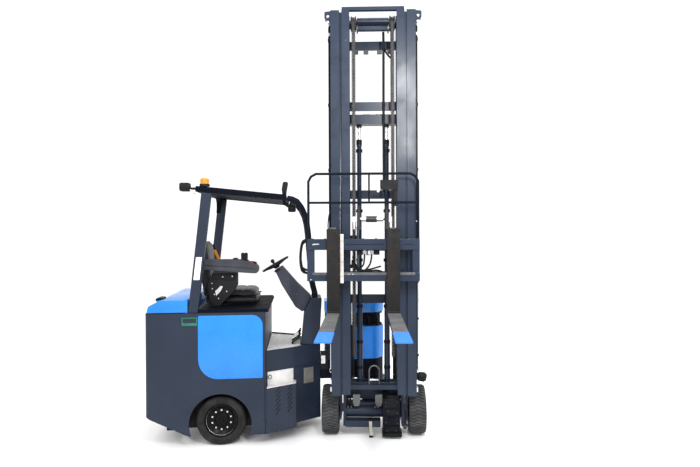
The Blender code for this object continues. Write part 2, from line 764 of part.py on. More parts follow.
def make_roof():
    """Drawn level, then tipped down to the front as one piece."""
    length = ROOF_FRONT_X - ROOF_REAR_X
    outer = GUARD_HALF + POST_WIDTH / 2
    roof = box("guard_roof", (0.0, -outer + 0.001, -BEAM + 0.001), (0.110, outer - 0.001, -0.001))
    rails = [box("roof_rail", (0.050, side * outer - BEAM / 2 * (side + 1), -BEAM),
                 (length, side * outer + BEAM / 2 * (1 - side), 0.0)) for side in (-1, 1)]
    header = box("roof_header", (length - 0.060, -outer + 0.01, -BEAM + 0.004),
                 (length - 0.004, outer - 0.01, -0.004))
    bars = []
    first, last = 0.110, length - 0.060
    for index in range(1, ROOF_BARS + 1):
        place = first + (last - first) * index / (ROOF_BARS + 1)
        bars.append(box("roof_bar", (place - 0.012, -outer + 0.01, -0.042),
                        (place + 0.012, outer - 0.01, -0.006)))
    ceiling = box("roof_ceiling", (0.100, -outer + 0.012, -0.046), (length - 0.006, outer - 0.012, -0.041))
    gussets = both_sides(make_gusset)
    join(roof, *rails, header, *bars, ceiling, *gussets)
    place = Matrix.Translation((ROOF_REAR_X, 0.0, ROOF_REAR_Z)) @ Matrix.Rotation(ROOF_TIP, 4, "Y")
    for piece in (roof, *rails, header, *bars, ceiling, *gussets):
        piece.data.transform(place)
    return finish(roof, "dark_paint")


def make_front_leg(side):
    high = side * (GUARD_HALF - 0.002)
    low = side * LEG_FOOT_HALF
    path = smooth_path([(ROOF_FRONT_X + 0.002, high, ROOF_FRONT_Z - 0.030),
                        (-0.735, side * 0.450, 2.130), (-0.665, side * 0.410, 2.010),
                        (-0.635, side * 0.340, 1.840), (-0.612, side * 0.215, 1.560),
                        (-0.600, side * 0.150, 1.400),
                        (LEG_FOOT_X, low, COWL_TOP_Z + 0.040)], 2)
    path.append(Vector((LEG_FOOT_X, low, COWL_TOP_Z + GAP)))
    leg = tube("guard_leg_" + side_name(side), path, LEG_RADIUS, 1)
    grip = [(-0.640, side * 0.326, 1.780), (-0.690, side * 0.310, 1.745),
            (-0.705, side * 0.250, 1.620), (-0.690, side * 0.200, 1.500),
            (-0.615, side * 0.190, 1.470)]
    join(leg, tube("grab_handle", smooth_path(grip, 2), 0.011, 1))
    return finish(leg, "dark_paint")


# Seat and controls

def make_seat():
    base = box("seat_suspension", (-1.500, -0.200, DECK_TOP_Z + GAP),
               (-1.160, 0.200, CUSHION_LOW_Z - GAP), 0.015)
    cushion = box("seat_cushion", (-1.500, -0.240, CUSHION_LOW_Z), (-1.100, 0.240, SEAT_TOP_Z), 0.030)
    back = tapered_box("seat_backrest", (-1.580, -1.4964, 0.230, CUSHION_LOW_Z + 0.002, 0.0),
                       (-1.655, -1.571, 0.200, 1.780, 0.0))
    round_edges(back, 0.025)
    return [finish(base, "black_plastic"), finish(cushion, "black_vinyl"),
            finish(back, "black_vinyl")]


def make_armrest():
    """Console on its folding bracket, with the joystick, right of the seat."""
    console = plate("armrest_console",
                    [(-1.585, 1.530, 0.012), (-1.200, 1.496, 0.060), (-1.083, 1.488, 0.030),
                     (-1.076, 1.560, 0.035), (-1.150, 1.596, 0.060), (-1.250, 1.616, 0.040),
                     (-1.585, 1.618, 0.020)], "Y", -0.360, -0.255, 3)
    bracket = plate("armrest_bracket",
                    [(-1.520, DECK_TOP_Z + GAP, 0.0), (-1.430, DECK_TOP_Z + GAP, 0.0),
                     (-1.300, 1.330, 0.020), (-1.270, 1.390, 0.020),
                     (-1.270, 1.512, 0.0), (-1.480, 1.530, 0.0), (-1.540, 1.380, 0.020)],
                    "Y", -0.290, -0.2405)
    stick = bar("joystick", (-1.206, -0.308, 1.580), (-1.206, -0.308, 1.672), 0.022, 12)
    join(console, bracket, stick)
    return finish(console, "black_plastic")


# Lamps

def make_beacon():
    x, y = -1.530, -GUARD_HALF + 0.010
    z = roof_top(x)
    profile = [(0.0, 0.078), (0.030, 0.078), (0.038, 0.066), (0.041, 0.018), (0.044, 0.014),
               (0.044, 0.0036), (0.0, 0.0036)]
    return finish(turned("beacon", profile, (x, y, z), (0, 0, 1), 24), "amber_lens")


def make_lamps():
    outer = -GUARD_HALF - POST_WIDTH / 2
    rear = box("rear_lamp", (-1.742, outer, 2.215), (-1.652, outer + 0.080, 2.290), 0.015)
    arm_low = 2.230
    arm_end = ROOF_REAR_X - (ROOF_REAR_Z - arm_low) * tan(ROOF_TIP) - GAP
    arm = box("rear_lamp_arm", (-1.670, outer + 0.030, arm_low), (arm_end, outer + 0.050, 2.250))
    join(rear, arm)
    top = box("front_lamp_top", (-0.038, outer + 0.010, GAP), (0.0, outer + 0.070, 0.105), 0.008)
    top.data.transform(Matrix.Translation((-0.826, 0.0, roof_top(-0.826)))
                       @ Matrix.Rotation(ROOF_TIP, 4, "Y"))
    low = box("front_lamp_low", (-0.815, outer + 0.110, 2.040), (-0.745, outer + 0.190, 2.110), 0.012)
    under = BEAM - 0.004
    hanger_ends = [(x, roof_top(x) - under / cos(ROOF_TIP) - GAP, 0.0) for x in (-0.838, -0.862)]
    hanger = plate("front_lamp_hanger",
                   [(-0.862, 2.110, 0.0), (-0.800, 2.070, 0.0), (-0.800, 2.100, 0.0), *hanger_ends],
                   "Y", outer + 0.145, outer + 0.155)
    join(low, hanger)
    return [finish(rear, "black_plastic"), finish(top, "black_plastic"),
            finish(low, "black_plastic")]


# Steering wheel

def make_steering_wheel():
    """Drawn level about its centre, then tipped to the column."""
    ring = [(STEERING_RADIUS * cos(2 * pi * step / 24), STEERING_RADIUS * sin(2 * pi * step / 24), 0.0)
            for step in range(24)]
    wheel = tube("steering_wheel", ring, 0.0115, 1, cyclic=True)
    hub = bar("steering_hub", (0.0, 0.0, -STEERING_HUB), (0.0, 0.0, 0.006), 0.030)
    reach = STEERING_RADIUS - 0.002
    spokes = [bar("steering_spoke", (0.0, 0.0, -0.010), (reach * cos(turn), reach * sin(turn), -0.001),
                  0.0085, 8) for turn in (1.60, 1.60 + 2 * pi / 3, 1.60 + 4 * pi / 3)]
    knob = bar("steering_knob", (0.0, -0.130, -0.005), (0.0, -0.130, 0.055), 0.016, 10)
    join(wheel, hub, *spokes, knob)
    place = Matrix.Translation(STEERING_CENTRE) @ Matrix.Rotation(-STEERING_TILT, 4, "Y")
    for piece in (wheel, hub, *spokes, knob):
        piece.data.transform(place)
    return finish(wheel, "black_plastic")


# Wheels

def make_wheel(name, centre, side, radius, width, tread):
    """Tyre and rim about an axle along Y; side is the way that the outer face looks."""
    rim_radius = radius * 0.60
    inner, outer = -width / 2, width / 2
    shoulder = 0.018
    crown = radius - (TREAD_DEPTH if tread else 0.0)
    tyre = turned("tyre_" + name,
                  [(rim_radius + GAP, outer - 0.006), (crown - 0.030, outer),
                   (crown - 0.006, outer - shoulder * 0.4), (crown, outer - shoulder),
                   (crown, inner + shoulder), (crown - 0.006, inner + shoulder * 0.4),
                   (crown - 0.030, inner), (rim_radius + GAP, inner + 0.006)],
                  centre, (0, side, 0), WHEEL_SIDES)
    if tread:
        half_bar = pi * radius / TREAD_BARS * 0.55
        lugs = []
        for index in range(TREAD_BARS):
            lug = box("tread_bar", (-half_bar, inner + 0.008, crown - 0.006),
                      (half_bar, outer - 0.008, radius))
            turn = Matrix.Rotation(2 * pi * (index + 0.5) / TREAD_BARS, 4, "Y")
            lug.data.transform(Matrix.Translation(centre) @ turn)
            lugs.append(lug)
        join(tyre, *lugs)
    dish = rim_radius - 0.014
    rim = turned("rim_" + name,
                 [(0.0, outer - 0.028), (0.055, outer - 0.028), (0.060, outer - 0.045),
                  (dish - 0.010, outer - 0.050), (dish, outer - 0.008), (rim_radius, outer - 0.008),
                  (rim_radius, inner + 0.008), (dish, inner + 0.008), (dish, outer - 0.068),
                  (0.060, outer - 0.072), (0.056, outer - 0.100),
                  (AXLE_RADIUS + PIN_PLAY, outer - 0.100), (AXLE_RADIUS + PIN_PLAY, outer - 0.058),
                  (0.0, outer - 0.058)],
                 centre, (0, side, 0), WHEEL_SIDES)
    return [finish(tyre, "tyre_rubber"), finish(rim, "rim_black")]


# Front frame

def make_front_frame():
    hub = bar("front_frame", (0.0, 0.0, 0.160), (0.0, 0.0, ARM_LOW_Z - 0.010), 0.112, 24)
    beam = box("frame_beam", (0.0, -0.095, 0.160), (0.240, 0.095, 0.420))
    cross = box("frame_cross", (0.190, -0.262, 0.300), (TILT_FOOT[0] + 0.022, 0.262, 0.405))
    axle_beam = box("axle_beam", (FRONT_AXLE_X - AXLE_BEAM_HALF, -0.262, 0.150),
                    (FRONT_AXLE_X + AXLE_BEAM_HALF, 0.262, 0.285))
    motor = bar("axle_motor", (FRONT_AXLE_X + AXLE_BEAM_HALF + 0.010, -0.260, 0.212),
                (FRONT_AXLE_X + AXLE_BEAM_HALF + 0.010, DRIVE_BOX_RIGHT - GAP, 0.212), 0.045)
    strut = bar("steering_strut", (0.360, 0.285, 0.060), (0.360, 0.285, 0.280), 0.016, 12)
    pin = bar("kingpin", (0.0, 0.0, 0.200), (0.0, 0.0, ARM_TOP_Z - 0.034), KINGPIN_RADIUS, 24)
    collar = bar("thrust_collar", (0.0, 0.0, 0.400), (0.0, 0.0, ARM_LOW_Z - GAP), 0.075)
    cheeks = []
    for side in (-1, 1):
        inner, outer = side * 0.252, side * 0.278
        cheeks.append(plate("frame_cheek",
                            [(0.180, 0.090, 0.010), (CHEEK_FRONT, 0.090, 0.010),
                             (CHEEK_FRONT, TILT_Z - 0.040, 0.0),
                             (CHEEK_FRONT, TILT_Z + 0.036, 0.030),
                             (TILT_X - 0.036, TILT_Z + 0.036, 0.030),
                             (TILT_X - 0.036, 0.430, 0.0), (0.180, 0.430, 0.010)],
                            "Y", inner, outer))
        cheeks.append(bar("tilt_pin", (TILT_X, side * 0.262, TILT_Z),
                          (TILT_X, side * 0.385, TILT_Z), TILT_PIN_RADIUS))
        foot_x, foot_z = TILT_FOOT
        for offset in (-0.019, 0.019):
            middle = side * TILT_CYLINDER_HALF + offset
            cheeks.append(plate("tilt_foot_lug",
                                [(foot_x - 0.020, 0.390, 0.0), (foot_x + 0.024, 0.390, 0.0),
                                 (foot_x + 0.024, foot_z + 0.018, 0.018),
                                 (foot_x - 0.020, foot_z + 0.018, 0.018)],
                                "Y", middle - 0.005, middle + 0.005))
        cheeks.append(bar("tilt_foot_pin",
                          (foot_x, side * TILT_CYLINDER_HALF - 0.022, foot_z),
                          (foot_x, side * TILT_CYLINDER_HALF + 0.022, foot_z), 0.009, 16))
    end = HALF_TRACK + FRONT_TYRE_WIDTH / 2 - 0.062
    axle = bar("front_axle", (FRONT_AXLE_X, -end, FRONT_TYRE_RADIUS),
               (FRONT_AXLE_X, end, FRONT_TYRE_RADIUS), AXLE_RADIUS)
    low_beam = box("low_beam", (FRONT_AXLE_X + 0.050, -0.260, 0.092), (0.420, 0.060, 0.150))
    join(hub, beam, cross, axle_beam, motor, strut, pin, collar, axle, low_beam, *cheeks)
    return finish(hub, "dark_paint")


def make_drive_box():
    start = FRONT_AXLE_X + AXLE_BEAM_HALF + GAP
    housing = box("drive_box", (start, DRIVE_BOX_RIGHT, 0.050), (0.455, 0.235, 0.360), 0.010)
    skid = box("drive_skid", (start + 0.010, DRIVE_BOX_RIGHT - 0.006, 0.022), (0.470, 0.250, 0.055))
    join(housing, skid)
    return finish(housing, "black_plastic")


# Mast

def rail_outline(side, inner, outer, web_inner, web_outer, rear_x, front_x):
    """A channel or beam section in plan: flanges at both ends of a web."""
    corners = [(rear_x, inner), (rear_x + FLANGE, inner), (rear_x + FLANGE, web_inner),
               (front_x - FLANGE, web_inner), (front_x - FLANGE, inner), (front_x, inner),
               (front_x, outer)]
    if web_outer < outer:
        corners += [(front_x - FLANGE, outer), (front_x - FLANGE, web_outer),
                    (rear_x + FLANGE, web_outer), (rear_x + FLANGE, outer)]
    corners.append((rear_x, outer))
    return [(x, side * y, 0.0) for x, y in corners]


# Sections, from the centre line out: the middle stage's flanges run inside the
# outer stage's channel and inside the inner stage's outer channel
MAST_REAR = MAST_FRONT - MAST_DEPTH
OUTER_INNER = OUTER_HALF - OUTER_FLANGE
OUTER_WEB = OUTER_HALF - WEB
INNER_OUTER = OUTER_INNER - STAGE_OFFSET
INNER_INNER = INNER_OUTER - INNER_FLANGE
INNER_WEB = INNER_INNER + 0.039
MIDDLE_INNER = INNER_WEB + WEB + RUNNING
MIDDLE_OUTER = OUTER_WEB - 0.013
MIDDLE_WEB = OUTER_INNER + 0.004
MIDDLE_REAR = MAST_REAR + FLANGE + RUNNING
MIDDLE_FRONT = MAST_FRONT - FLANGE - RUNNING
TIE_HALF = OUTER_INNER - RUNNING
OUTER_TIE = (0.285, 0.310)
MIDDLE_TIE = (0.398, MAST_REAR - RUNNING)
INNER_TIE = (0.4335, 0.4475)
ROLLER_PLAY = 0.0006
ROLLER_Z = 0.560


def make_rail_roller(side, start, web, rear_x, front_x):
    """A roller on a stage's foot, running between the next stage's flanges up to its web."""
    x = (rear_x + front_x) / 2
    radius = (front_x - rear_x) / 2 - FLANGE - ROLLER_PLAY
    return bar("rail_roller", (x, side * start, ROLLER_Z), (x, side * (web - ROLLER_PLAY), ROLLER_Z),
               radius, 20)


def make_mast_ear(side):
    """Guide bracket at the head of an outer rail."""
    near, far = OUTER_HALF - 0.004, OUTER_HALF + 0.052
    outline = [(side * near, OUTER_TOP_Z - 0.120, 0.0), (side * far, OUTER_TOP_Z - 0.062, 0.008),
               (side * far, OUTER_TOP_Z - 0.008, 0.008), (side * near, OUTER_TOP_Z - 0.002, 0.0)]
    return plate("mast_ear", outline, "X", MAST_FRONT - 0.080, MAST_FRONT - 0.014, 2)


def make_mast_outer():
    rails = [plate("mast_outer" if side < 0 else "outer_rail",
                   rail_outline(side, OUTER_INNER, OUTER_HALF, OUTER_WEB, OUTER_HALF,
                                MAST_REAR, MAST_FRONT),
                   "Z", MAST_LOW_Z, OUTER_TOP_Z) for side in (-1, 1)]
    # Foot and head of each tie at the back, then of its tabs to the rails
    ties = [(0.446, 0.496, 0.457, 0.548), (1.200, 1.280, 1.202, 1.278),
            (2.163, 2.242, 2.165, 2.240), (3.535, 3.612, 3.537, 3.610)]
    pieces = both_sides(make_mast_ear)
    for low, high, tab_low, tab_high in ties:
        pieces.append(box("outer_tie", (OUTER_TIE[0], -OUTER_HALF + 0.004, low),
                          (OUTER_TIE[1], OUTER_HALF - 0.004, high)))
        for side in (-1, 1):
            near, far = sorted((side * (OUTER_INNER + 0.002), side * (OUTER_HALF - 0.004)))
            pieces.append(box("outer_tab", (OUTER_TIE[0] + 0.002, near, tab_low),
                              (MAST_REAR + 0.004, far, tab_high)))
    pieces.append(box("cylinder_foot", (OUTER_TIE[0] + 0.004, -0.160, MAST_LOW_Z + 0.010),
                      (LIFT_X + 0.035, 0.160, LIFT_FOOT_Z)))
    for side in (-1, 1):
        head_x, head_z = TILT_HEAD
        for offset in (-0.019, 0.019):
            middle = side * TILT_CYLINDER_HALF + offset
            pieces.append(plate("tilt_head_lug",
                                [(head_x - 0.018, head_z - 0.018, 0.017),
                                 (OUTER_TIE[0] + 0.004, head_z - 0.030, 0.0),
                                 (OUTER_TIE[0] + 0.004, head_z + 0.030, 0.0),
                                 (head_x - 0.018, head_z + 0.018, 0.017)],
                                "Y", middle - 0.005, middle + 0.005))
        pieces.append(bar("tilt_head_pin",
                          (head_x, side * TILT_CYLINDER_HALF - 0.022, head_z),
                          (head_x, side * TILT_CYLINDER_HALF + 0.022, head_z), 0.009))
    holes = bar("tilt_pin_cut", (TILT_X, -0.4, TILT_Z), (TILT_X, 0.4, TILT_Z),
                TILT_PIN_RADIUS + PIN_PLAY)
    mast = rails[0]
    join(mast, rails[1], *pieces)
    cut(mast, holes)
    return finish(mast, "dark_paint")


def make_hose_run(side):
    """Two hoses clipped down the outside of an outer rail."""
    low, high = 0.640, 3.600
    middle = side * (OUTER_HALF + 0.015)
    places = (MAST_REAR + 0.040, MAST_REAR + 0.068)
    hoses = [bar("hose_run_" + side_name(side), (x, middle, low), (x, middle, high), 0.010, 8)
             for x in places]
    clips = []
    for index in range(HOSE_CLIPS):
        z = low + 0.040 + (high - low - 0.080) * index / (HOSE_CLIPS - 1)
        near, far = sorted((side * (OUTER_HALF + GAP), side * (OUTER_HALF + 0.028)))
        clips.append(box("hose_clip", (places[0] - 0.016, near, z - 0.012),
                         (places[1] + 0.016, far, z + 0.012)))
    join(hoses[0], hoses[1], *clips)
    return finish(hoses[0], "black_plastic")


def make_lift_barrel(side):
    foot = LIFT_FOOT_Z + GAP
    bottom = foot + 0.030
    gland = BARREL_TOP_Z - 0.060
    fit = LIFT_ROD + PIN_PLAY
    collar = LIFT_RADIUS + 0.004
    profile = [(0.0, bottom), (LIFT_BORE, bottom), (LIFT_BORE, gland), (fit, gland),
               (fit, BARREL_TOP_Z), (collar, BARREL_TOP_Z), (collar, gland),
               (LIFT_RADIUS, gland - 0.004), (LIFT_RADIUS, foot), (0.0, foot)]
    barrel = turned("lift_barrel_" + side_name(side), profile, (LIFT_X, side * LIFT_HALF, 0.0),
                    (0, 0, 1), 16)
    return finish(barrel, "dark_paint")


def make_lift_rod(side):
    rod = bar("lift_rod_" + side_name(side), (LIFT_X, side * LIFT_HALF, LIFT_FOOT_Z + 0.040),
              (LIFT_X, side * LIFT_HALF, PUSH_LOW_Z - GAP), LIFT_ROD)
    return finish(rod, "chrome_rod")


def make_mast_middle():
    rails = [plate("mast_middle" if side < 0 else "middle_rail",
                   rail_outline(side, MIDDLE_INNER, MIDDLE_OUTER, MIDDLE_WEB, MIDDLE_WEB + WEB,
                                MIDDLE_REAR, MIDDLE_FRONT),
                   "Z", MAST_LOW_Z + 0.004, OUTER_TOP_Z - 0.010) for side in (-1, 1)]
    # Start of each tie in depth, then its foot and head
    ties = [(CHEEK_FRONT + 0.016, 0.446, 0.500), (MIDDLE_TIE[0], 1.700, 1.770),
            (LIFT_X - 0.024, PUSH_LOW_Z, PUSH_TOP_Z), (MIDDLE_TIE[0], 3.690, 3.760)]
    pieces = []
    for start, low, high in ties:
        pieces.append(box("middle_tie", (start, -TIE_HALF, low), (MIDDLE_TIE[1], TIE_HALF, high)))
        for side in (-1, 1):
            near, far = sorted((side * (TIE_HALF - 0.008), side * (TIE_HALF - 0.0002)))
            pieces.append(box("middle_tab", (MIDDLE_TIE[1] - 0.004, near, low + 0.002),
                              (MIDDLE_REAR + 0.004, far, high - 0.002)))
    pieces += both_sides(make_rail_roller, MIDDLE_WEB + WEB - 0.004, OUTER_WEB, MAST_REAR, MAST_FRONT)
    mast = rails[0]
    join(mast, rails[1], *pieces)
    return finish(mast, "dark_paint")


def make_mast_inner():
    rails = [plate("mast_inner" if side < 0 else "inner_rail",
                   rail_outline(side, INNER_INNER, INNER_OUTER, INNER_WEB, INNER_WEB + WEB,
                                MAST_REAR, MAST_FRONT),
                   "Z", MAST_LOW_Z + 0.008, INNER_TOP_Z) for side in (-1, 1)]
    web_reach = INNER_WEB + 0.004
    # x start, x end, foot, head and half width of each tie
    ties = [(*INNER_TIE, 0.441, 0.483, INNER_INNER + 0.020),
            (*INNER_TIE, *CHAIN_ANCHOR, INNER_INNER + 0.020),
            (SHEAVE_X - 0.022, SHEAVE_X + 0.022, SHEAVE_Z - 0.062, SHEAVE_Z - 0.010, 0.140)]
    pieces = [box("inner_tie", (start, -half, low), (end, half, high))
              for start, end, low, high, half in ties]
    pieces.append(box("inner_top_bar", (0.560, -INNER_OUTER + 0.002, INNER_TOP_Z - 0.006),
                      (MAST_FRONT - 0.002, INNER_OUTER - 0.002, INNER_TOP_Z + 0.024)))
    pieces.append(bar("inner_top_tube", (SHEAVE_X, -0.140, SHEAVE_Z + 0.015),
                      (SHEAVE_X, 0.140, SHEAVE_Z + 0.015), 0.038))
    pieces.append(bar("sheave_shaft", (SHEAVE_X, -web_reach, SHEAVE_Z),
                      (SHEAVE_X, web_reach, SHEAVE_Z), 0.018, 20))
    pieces += both_sides(make_rail_roller, INNER_WEB + WEB - 0.004, MIDDLE_WEB, MIDDLE_REAR, MIDDLE_FRONT)
    mast = rails[0]
    join(mast, rails[1], *pieces)
    return finish(mast, "dark_paint")


def make_chain(side):
    """Sheave and chain in one: the run down to the carriage and the run behind."""
    start, end = CHAIN_HALF - 0.011, CHAIN_HALF + 0.011
    sheave = turned("chain_" + side_name(side),
                    [(0.0182, end), (SHEAVE_RADIUS, end), (SHEAVE_RADIUS, start), (0.0182, start)],
                    (SHEAVE_X, 0.0, SHEAVE_Z), (0, side, 0), 20)
    runs = []
    for offset, low in ((SHEAVE_RADIUS + 0.002, CHAIN_FOOT_Z),
                        (-SHEAVE_RADIUS - 0.002, CHAIN_ANCHOR[1] + GAP)):
        near, far = sorted((side * start, side * end))
        runs.append(box("chain_run", (SHEAVE_X + offset - 0.006, near, low),
                        (SHEAVE_X + offset + 0.006, far, SHEAVE_Z)))
    join(sheave, *runs)
    return finish(sheave, "chain_steel")


# Carriage, side shifter and forks

CARRIAGE_PLATE = (0.128, 0.146)
CARRIAGE_START = 0.496
CARRIAGE_BACK = 0.655
SHIFT_BACK = 0.007        # shift frame's back behind the fork bars


def make_carriage():
    low, high = 1.430, 1.880
    slide_x = BAR_FRONT - BAR_DEPTH - SHIFT_BACK
    roller_x = MAST_FRONT - MAST_DEPTH / 2
    roller_radius = MAST_DEPTH / 2 - FLANGE - ROLLER_PLAY
    pieces = []
    for side in (-1, 1):
        near, far = sorted((side * CARRIAGE_PLATE[0], side * CARRIAGE_PLATE[1]))
        pieces.append(box("carriage" if side < 0 else "carriage_plate",
                          (CARRIAGE_START, near, low), (CARRIAGE_BACK + 0.020, far, high)))
    for side in (-1, 1):
        for height in (low + 0.125, high - 0.070):
            start, end = side * CARRIAGE_PLATE[1], side * (INNER_INNER + 0.006)
            pieces.append(bar("roller_stub", (roller_x, start - side * 0.010, height),
                              (roller_x, end + side * 0.004, height), 0.018, 10))
            pieces.append(bar("roller", (roller_x, end, height),
                              (roller_x, side * (INNER_WEB - 0.002), height), roller_radius, 20))
    for start, end in ((UPPER_BAR[0] - 0.010, UPPER_BAR[1] - 0.010),
                       (LOWER_BAR[0] + 0.006, LOWER_BAR[1] + 0.010)):
        pieces.append(box("carriage_bar", (CARRIAGE_BACK, -0.330, start), (slide_x - 0.005, 0.330, end)))
        for middle in (-0.270, 0.270):
            pieces.append(box("slide_pad", (slide_x - 0.010, middle - 0.040, start + 0.010),
                              (slide_x - 0.0005, middle + 0.040, end - 0.010)))
    carriage = pieces[0]
    join(carriage, *pieces[1:])
    return finish(carriage, "dark_paint")


def make_shift_frame():
    """Bars that carry the forks, tied by side plates, sliding on the carriage bars."""
    centre = SIDE_SHIFT
    start_x = BAR_FRONT - BAR_DEPTH - SHIFT_BACK
    frame = box("shift_frame", (start_x, centre - CARRIAGE_HALF, UPPER_BAR[0]),
                (BAR_FRONT, centre + CARRIAGE_HALF, UPPER_BAR[1]), 0.0)
    lower = box("shift_lower_bar", (start_x, centre - CARRIAGE_HALF, LOWER_BAR[0]),
                (BAR_FRONT, centre + CARRIAGE_HALF, LOWER_BAR[1]))
    pieces = [lower]
    for side in (-1, 1):
        near, far = sorted((centre + side * (CARRIAGE_HALF - 0.062), centre + side * CARRIAGE_HALF))
        pieces.append(box("shift_side_plate", (start_x + 0.010, near, LOWER_BAR[0] + 0.004),
                          (BAR_FRONT - 0.010, far, UPPER_BAR[1] - 0.004)))
    join(frame, *pieces)
    return finish(frame, "dark_paint")


def make_load_backrest():
    centre = SIDE_SHIFT
    half = CARRIAGE_HALF - REST_TUBE
    x = BAR_FRONT - 0.024
    foot = UPPER_BAR[1] + GAP
    top = REST_TOP_Z - REST_TUBE
    chamfer = 0.065
    outline = [(x, centre - half, foot), (x, centre - half, top - chamfer),
               (x, centre - half + chamfer * 0.35, top - chamfer * 0.35),
               (x, centre - half + chamfer, top), (x, centre + half - chamfer, top),
               (x, centre + half - chamfer * 0.35, top - chamfer * 0.35),
               (x, centre + half, top - chamfer), (x, centre + half, foot)]
    rest = tube("load_backrest", outline, REST_TUBE)
    middle = foot + (top - foot) * 0.557
    extra = [bar("rest_bar", (x, centre - half, middle), (x, centre + half, middle), REST_TUBE * 0.9, 8)]
    upright = centre + 0.050
    extra.append(bar("rest_upright", (x, upright, middle), (x, upright, top), REST_TUBE * 0.7, 8))
    join(rest, *extra)
    return finish(rest, "black_plastic")


def make_fork(side):
    centre = SIDE_SHIFT + side * FORK_HALF_SPACING
    shank = FORK_THICK
    back = BAR_FRONT + GAP
    top = FORK_TOP_Z
    tip = back + shank + FORK_LENGTH
    corners = [(back, FORK_HEEL_Z, 0.0), (back, top - FORK_THICK, 0.030),
               (tip, top - 0.012, 0.004), (tip, top, 0.004),
               (back + shank, top, 0.015), (back + shank, FORK_HEEL_Z, 0.008)]
    fork = plate("fork_" + side_name(side), corners, "Y", centre - FORK_WIDTH / 2,
                 centre + FORK_WIDTH / 2)
    hook = box("fork_hook", (BAR_FRONT - BAR_DEPTH + 0.004, centre - FORK_WIDTH / 2 + 0.01,
                             UPPER_BAR[1] + GAP),
               (back + 0.010, centre + FORK_WIDTH / 2 - 0.01, UPPER_BAR[1] + 0.028))
    join(fork, hook)
    return finish(fork, "fork_steel")


# Tilt cylinders

def tilt_direction():
    run = Vector((TILT_HEAD[0] - TILT_FOOT[0], 0.0, TILT_HEAD[1] - TILT_FOOT[1]))
    return run.normalized(), run.length


def make_tilt_barrel(side):
    along, length = tilt_direction()
    y = side * TILT_CYLINDER_HALF
    foot = Vector((TILT_FOOT[0], y, TILT_FOOT[1]))
    top = length * 0.66
    eye = 0.024
    gland = top - 0.030
    fit = TILT_ROD + PIN_PLAY
    profile = [(0.0, eye + 0.020), (TILT_BORE, eye + 0.020), (TILT_BORE, gland), (fit, gland),
               (fit, top), (TILT_BARREL_RADIUS, top), (TILT_BARREL_RADIUS, eye), (0.0, eye)]
    barrel = turned("tilt_barrel_" + side_name(side), profile, foot, along, 20)
    lug = bar("tilt_barrel_eye", foot - Vector((0, 0.0125, 0)), foot + Vector((0, 0.0125, 0)), 0.017, 20)
    neck = bar("tilt_barrel_neck", foot + along * 0.010, foot + along * (eye + 0.006), 0.011, 12)
    hole = bar("tilt_barrel_cut", foot - Vector((0, 0.05, 0)), foot + Vector((0, 0.05, 0)),
               0.009 + PIN_PLAY, 16)
    join(barrel, lug, neck)
    cut(barrel, hole)
    return finish(barrel, "black_plastic")


def make_tilt_rod(side):
    along, length = tilt_direction()
    y = side * TILT_CYLINDER_HALF
    foot = Vector((TILT_FOOT[0], y, TILT_FOOT[1]))
    head = foot + along * length
    rod = bar("tilt_rod_" + side_name(side), foot + along * (length * 0.40),
              head - along * 0.010, TILT_ROD, 20)
    lug = bar("tilt_rod_eye", head - Vector((0, 0.0125, 0)), head + Vector((0, 0.0125, 0)), 0.017, 20)
    hole = bar("tilt_rod_cut", head - Vector((0, 0.05, 0)), head + Vector((0, 0.05, 0)), 0.0115, 16)
    join(rod, lug)
    cut(rod, hole)
    return finish(rod, "chrome_rod")


# Assembly

def assemble():
    carry(chassis, make_rear_body(), make_seat_deck(), make_counterweight(), make_battery(),
          make_rear_axle(), make_foot_well(), make_cowl(),
          make_steering_column(), make_nose_arm(),
          make_nose_panel(), make_nose_hood(), make_roof(),
          *make_seat(), make_armrest(), make_beacon(), *make_lamps())
    for maker in (make_side_panel, make_step_plate, make_rear_post, make_front_leg):
        carry(chassis, *both_sides(maker))

    bonnet_hinge = frame_empty("bonnet_hinge", (BONNET_FRONT_X, 0.0, BONNET_TOP_Z), placing)
    carry(bonnet_hinge, make_bonnet())
    steering_axis = frame_empty("steering_axis", STEERING_CENTRE, placing)
    carry(steering_axis, make_steering_wheel())

    carry(front, make_front_frame(), make_drive_box())
    for side in (-1, 1):
        rear_centre = (REAR_AXLE_X, side * (REAR_TYRE_OUTER - REAR_TYRE_WIDTH / 2), REAR_TYRE_RADIUS)
        rear_wheel = frame_empty("rear_wheel_axis_" + side_name(side), rear_centre, placing)
        carry(rear_wheel, *make_wheel("rear_" + side_name(side), rear_centre, side,
                                      REAR_TYRE_RADIUS, REAR_TYRE_WIDTH, False))
        front_centre = (FRONT_AXLE_X, side * HALF_TRACK, FRONT_TYRE_RADIUS)
        front_wheel = frame_empty("front_wheel_axis_" + side_name(side), front_centre, front)
        carry(front_wheel, *make_wheel("front_" + side_name(side), front_centre, side,
                                       FRONT_TYRE_RADIUS, FRONT_TYRE_WIDTH, True))
        foot = frame_empty("tilt_foot_axis_" + side_name(side),
                           (TILT_FOOT[0], side * TILT_CYLINDER_HALF, TILT_FOOT[1]), front)
        carry(foot, make_tilt_barrel(side), make_tilt_rod(side))

    mast_tilt = frame_empty("mast_tilt_axis", (TILT_X, 0.0, TILT_Z), front)
    carry(mast_tilt, make_mast_outer(), *both_sides(make_lift_barrel), *both_sides(make_hose_run))
    carry(mast_tilt, make_mast_middle(), *both_sides(make_lift_rod))
    carry(mast_tilt, make_mast_inner(), *both_sides(make_chain))
    carry(mast_tilt, make_carriage())
    carry(mast_tilt, make_shift_frame(), make_load_backrest(), *both_sides(make_fork))


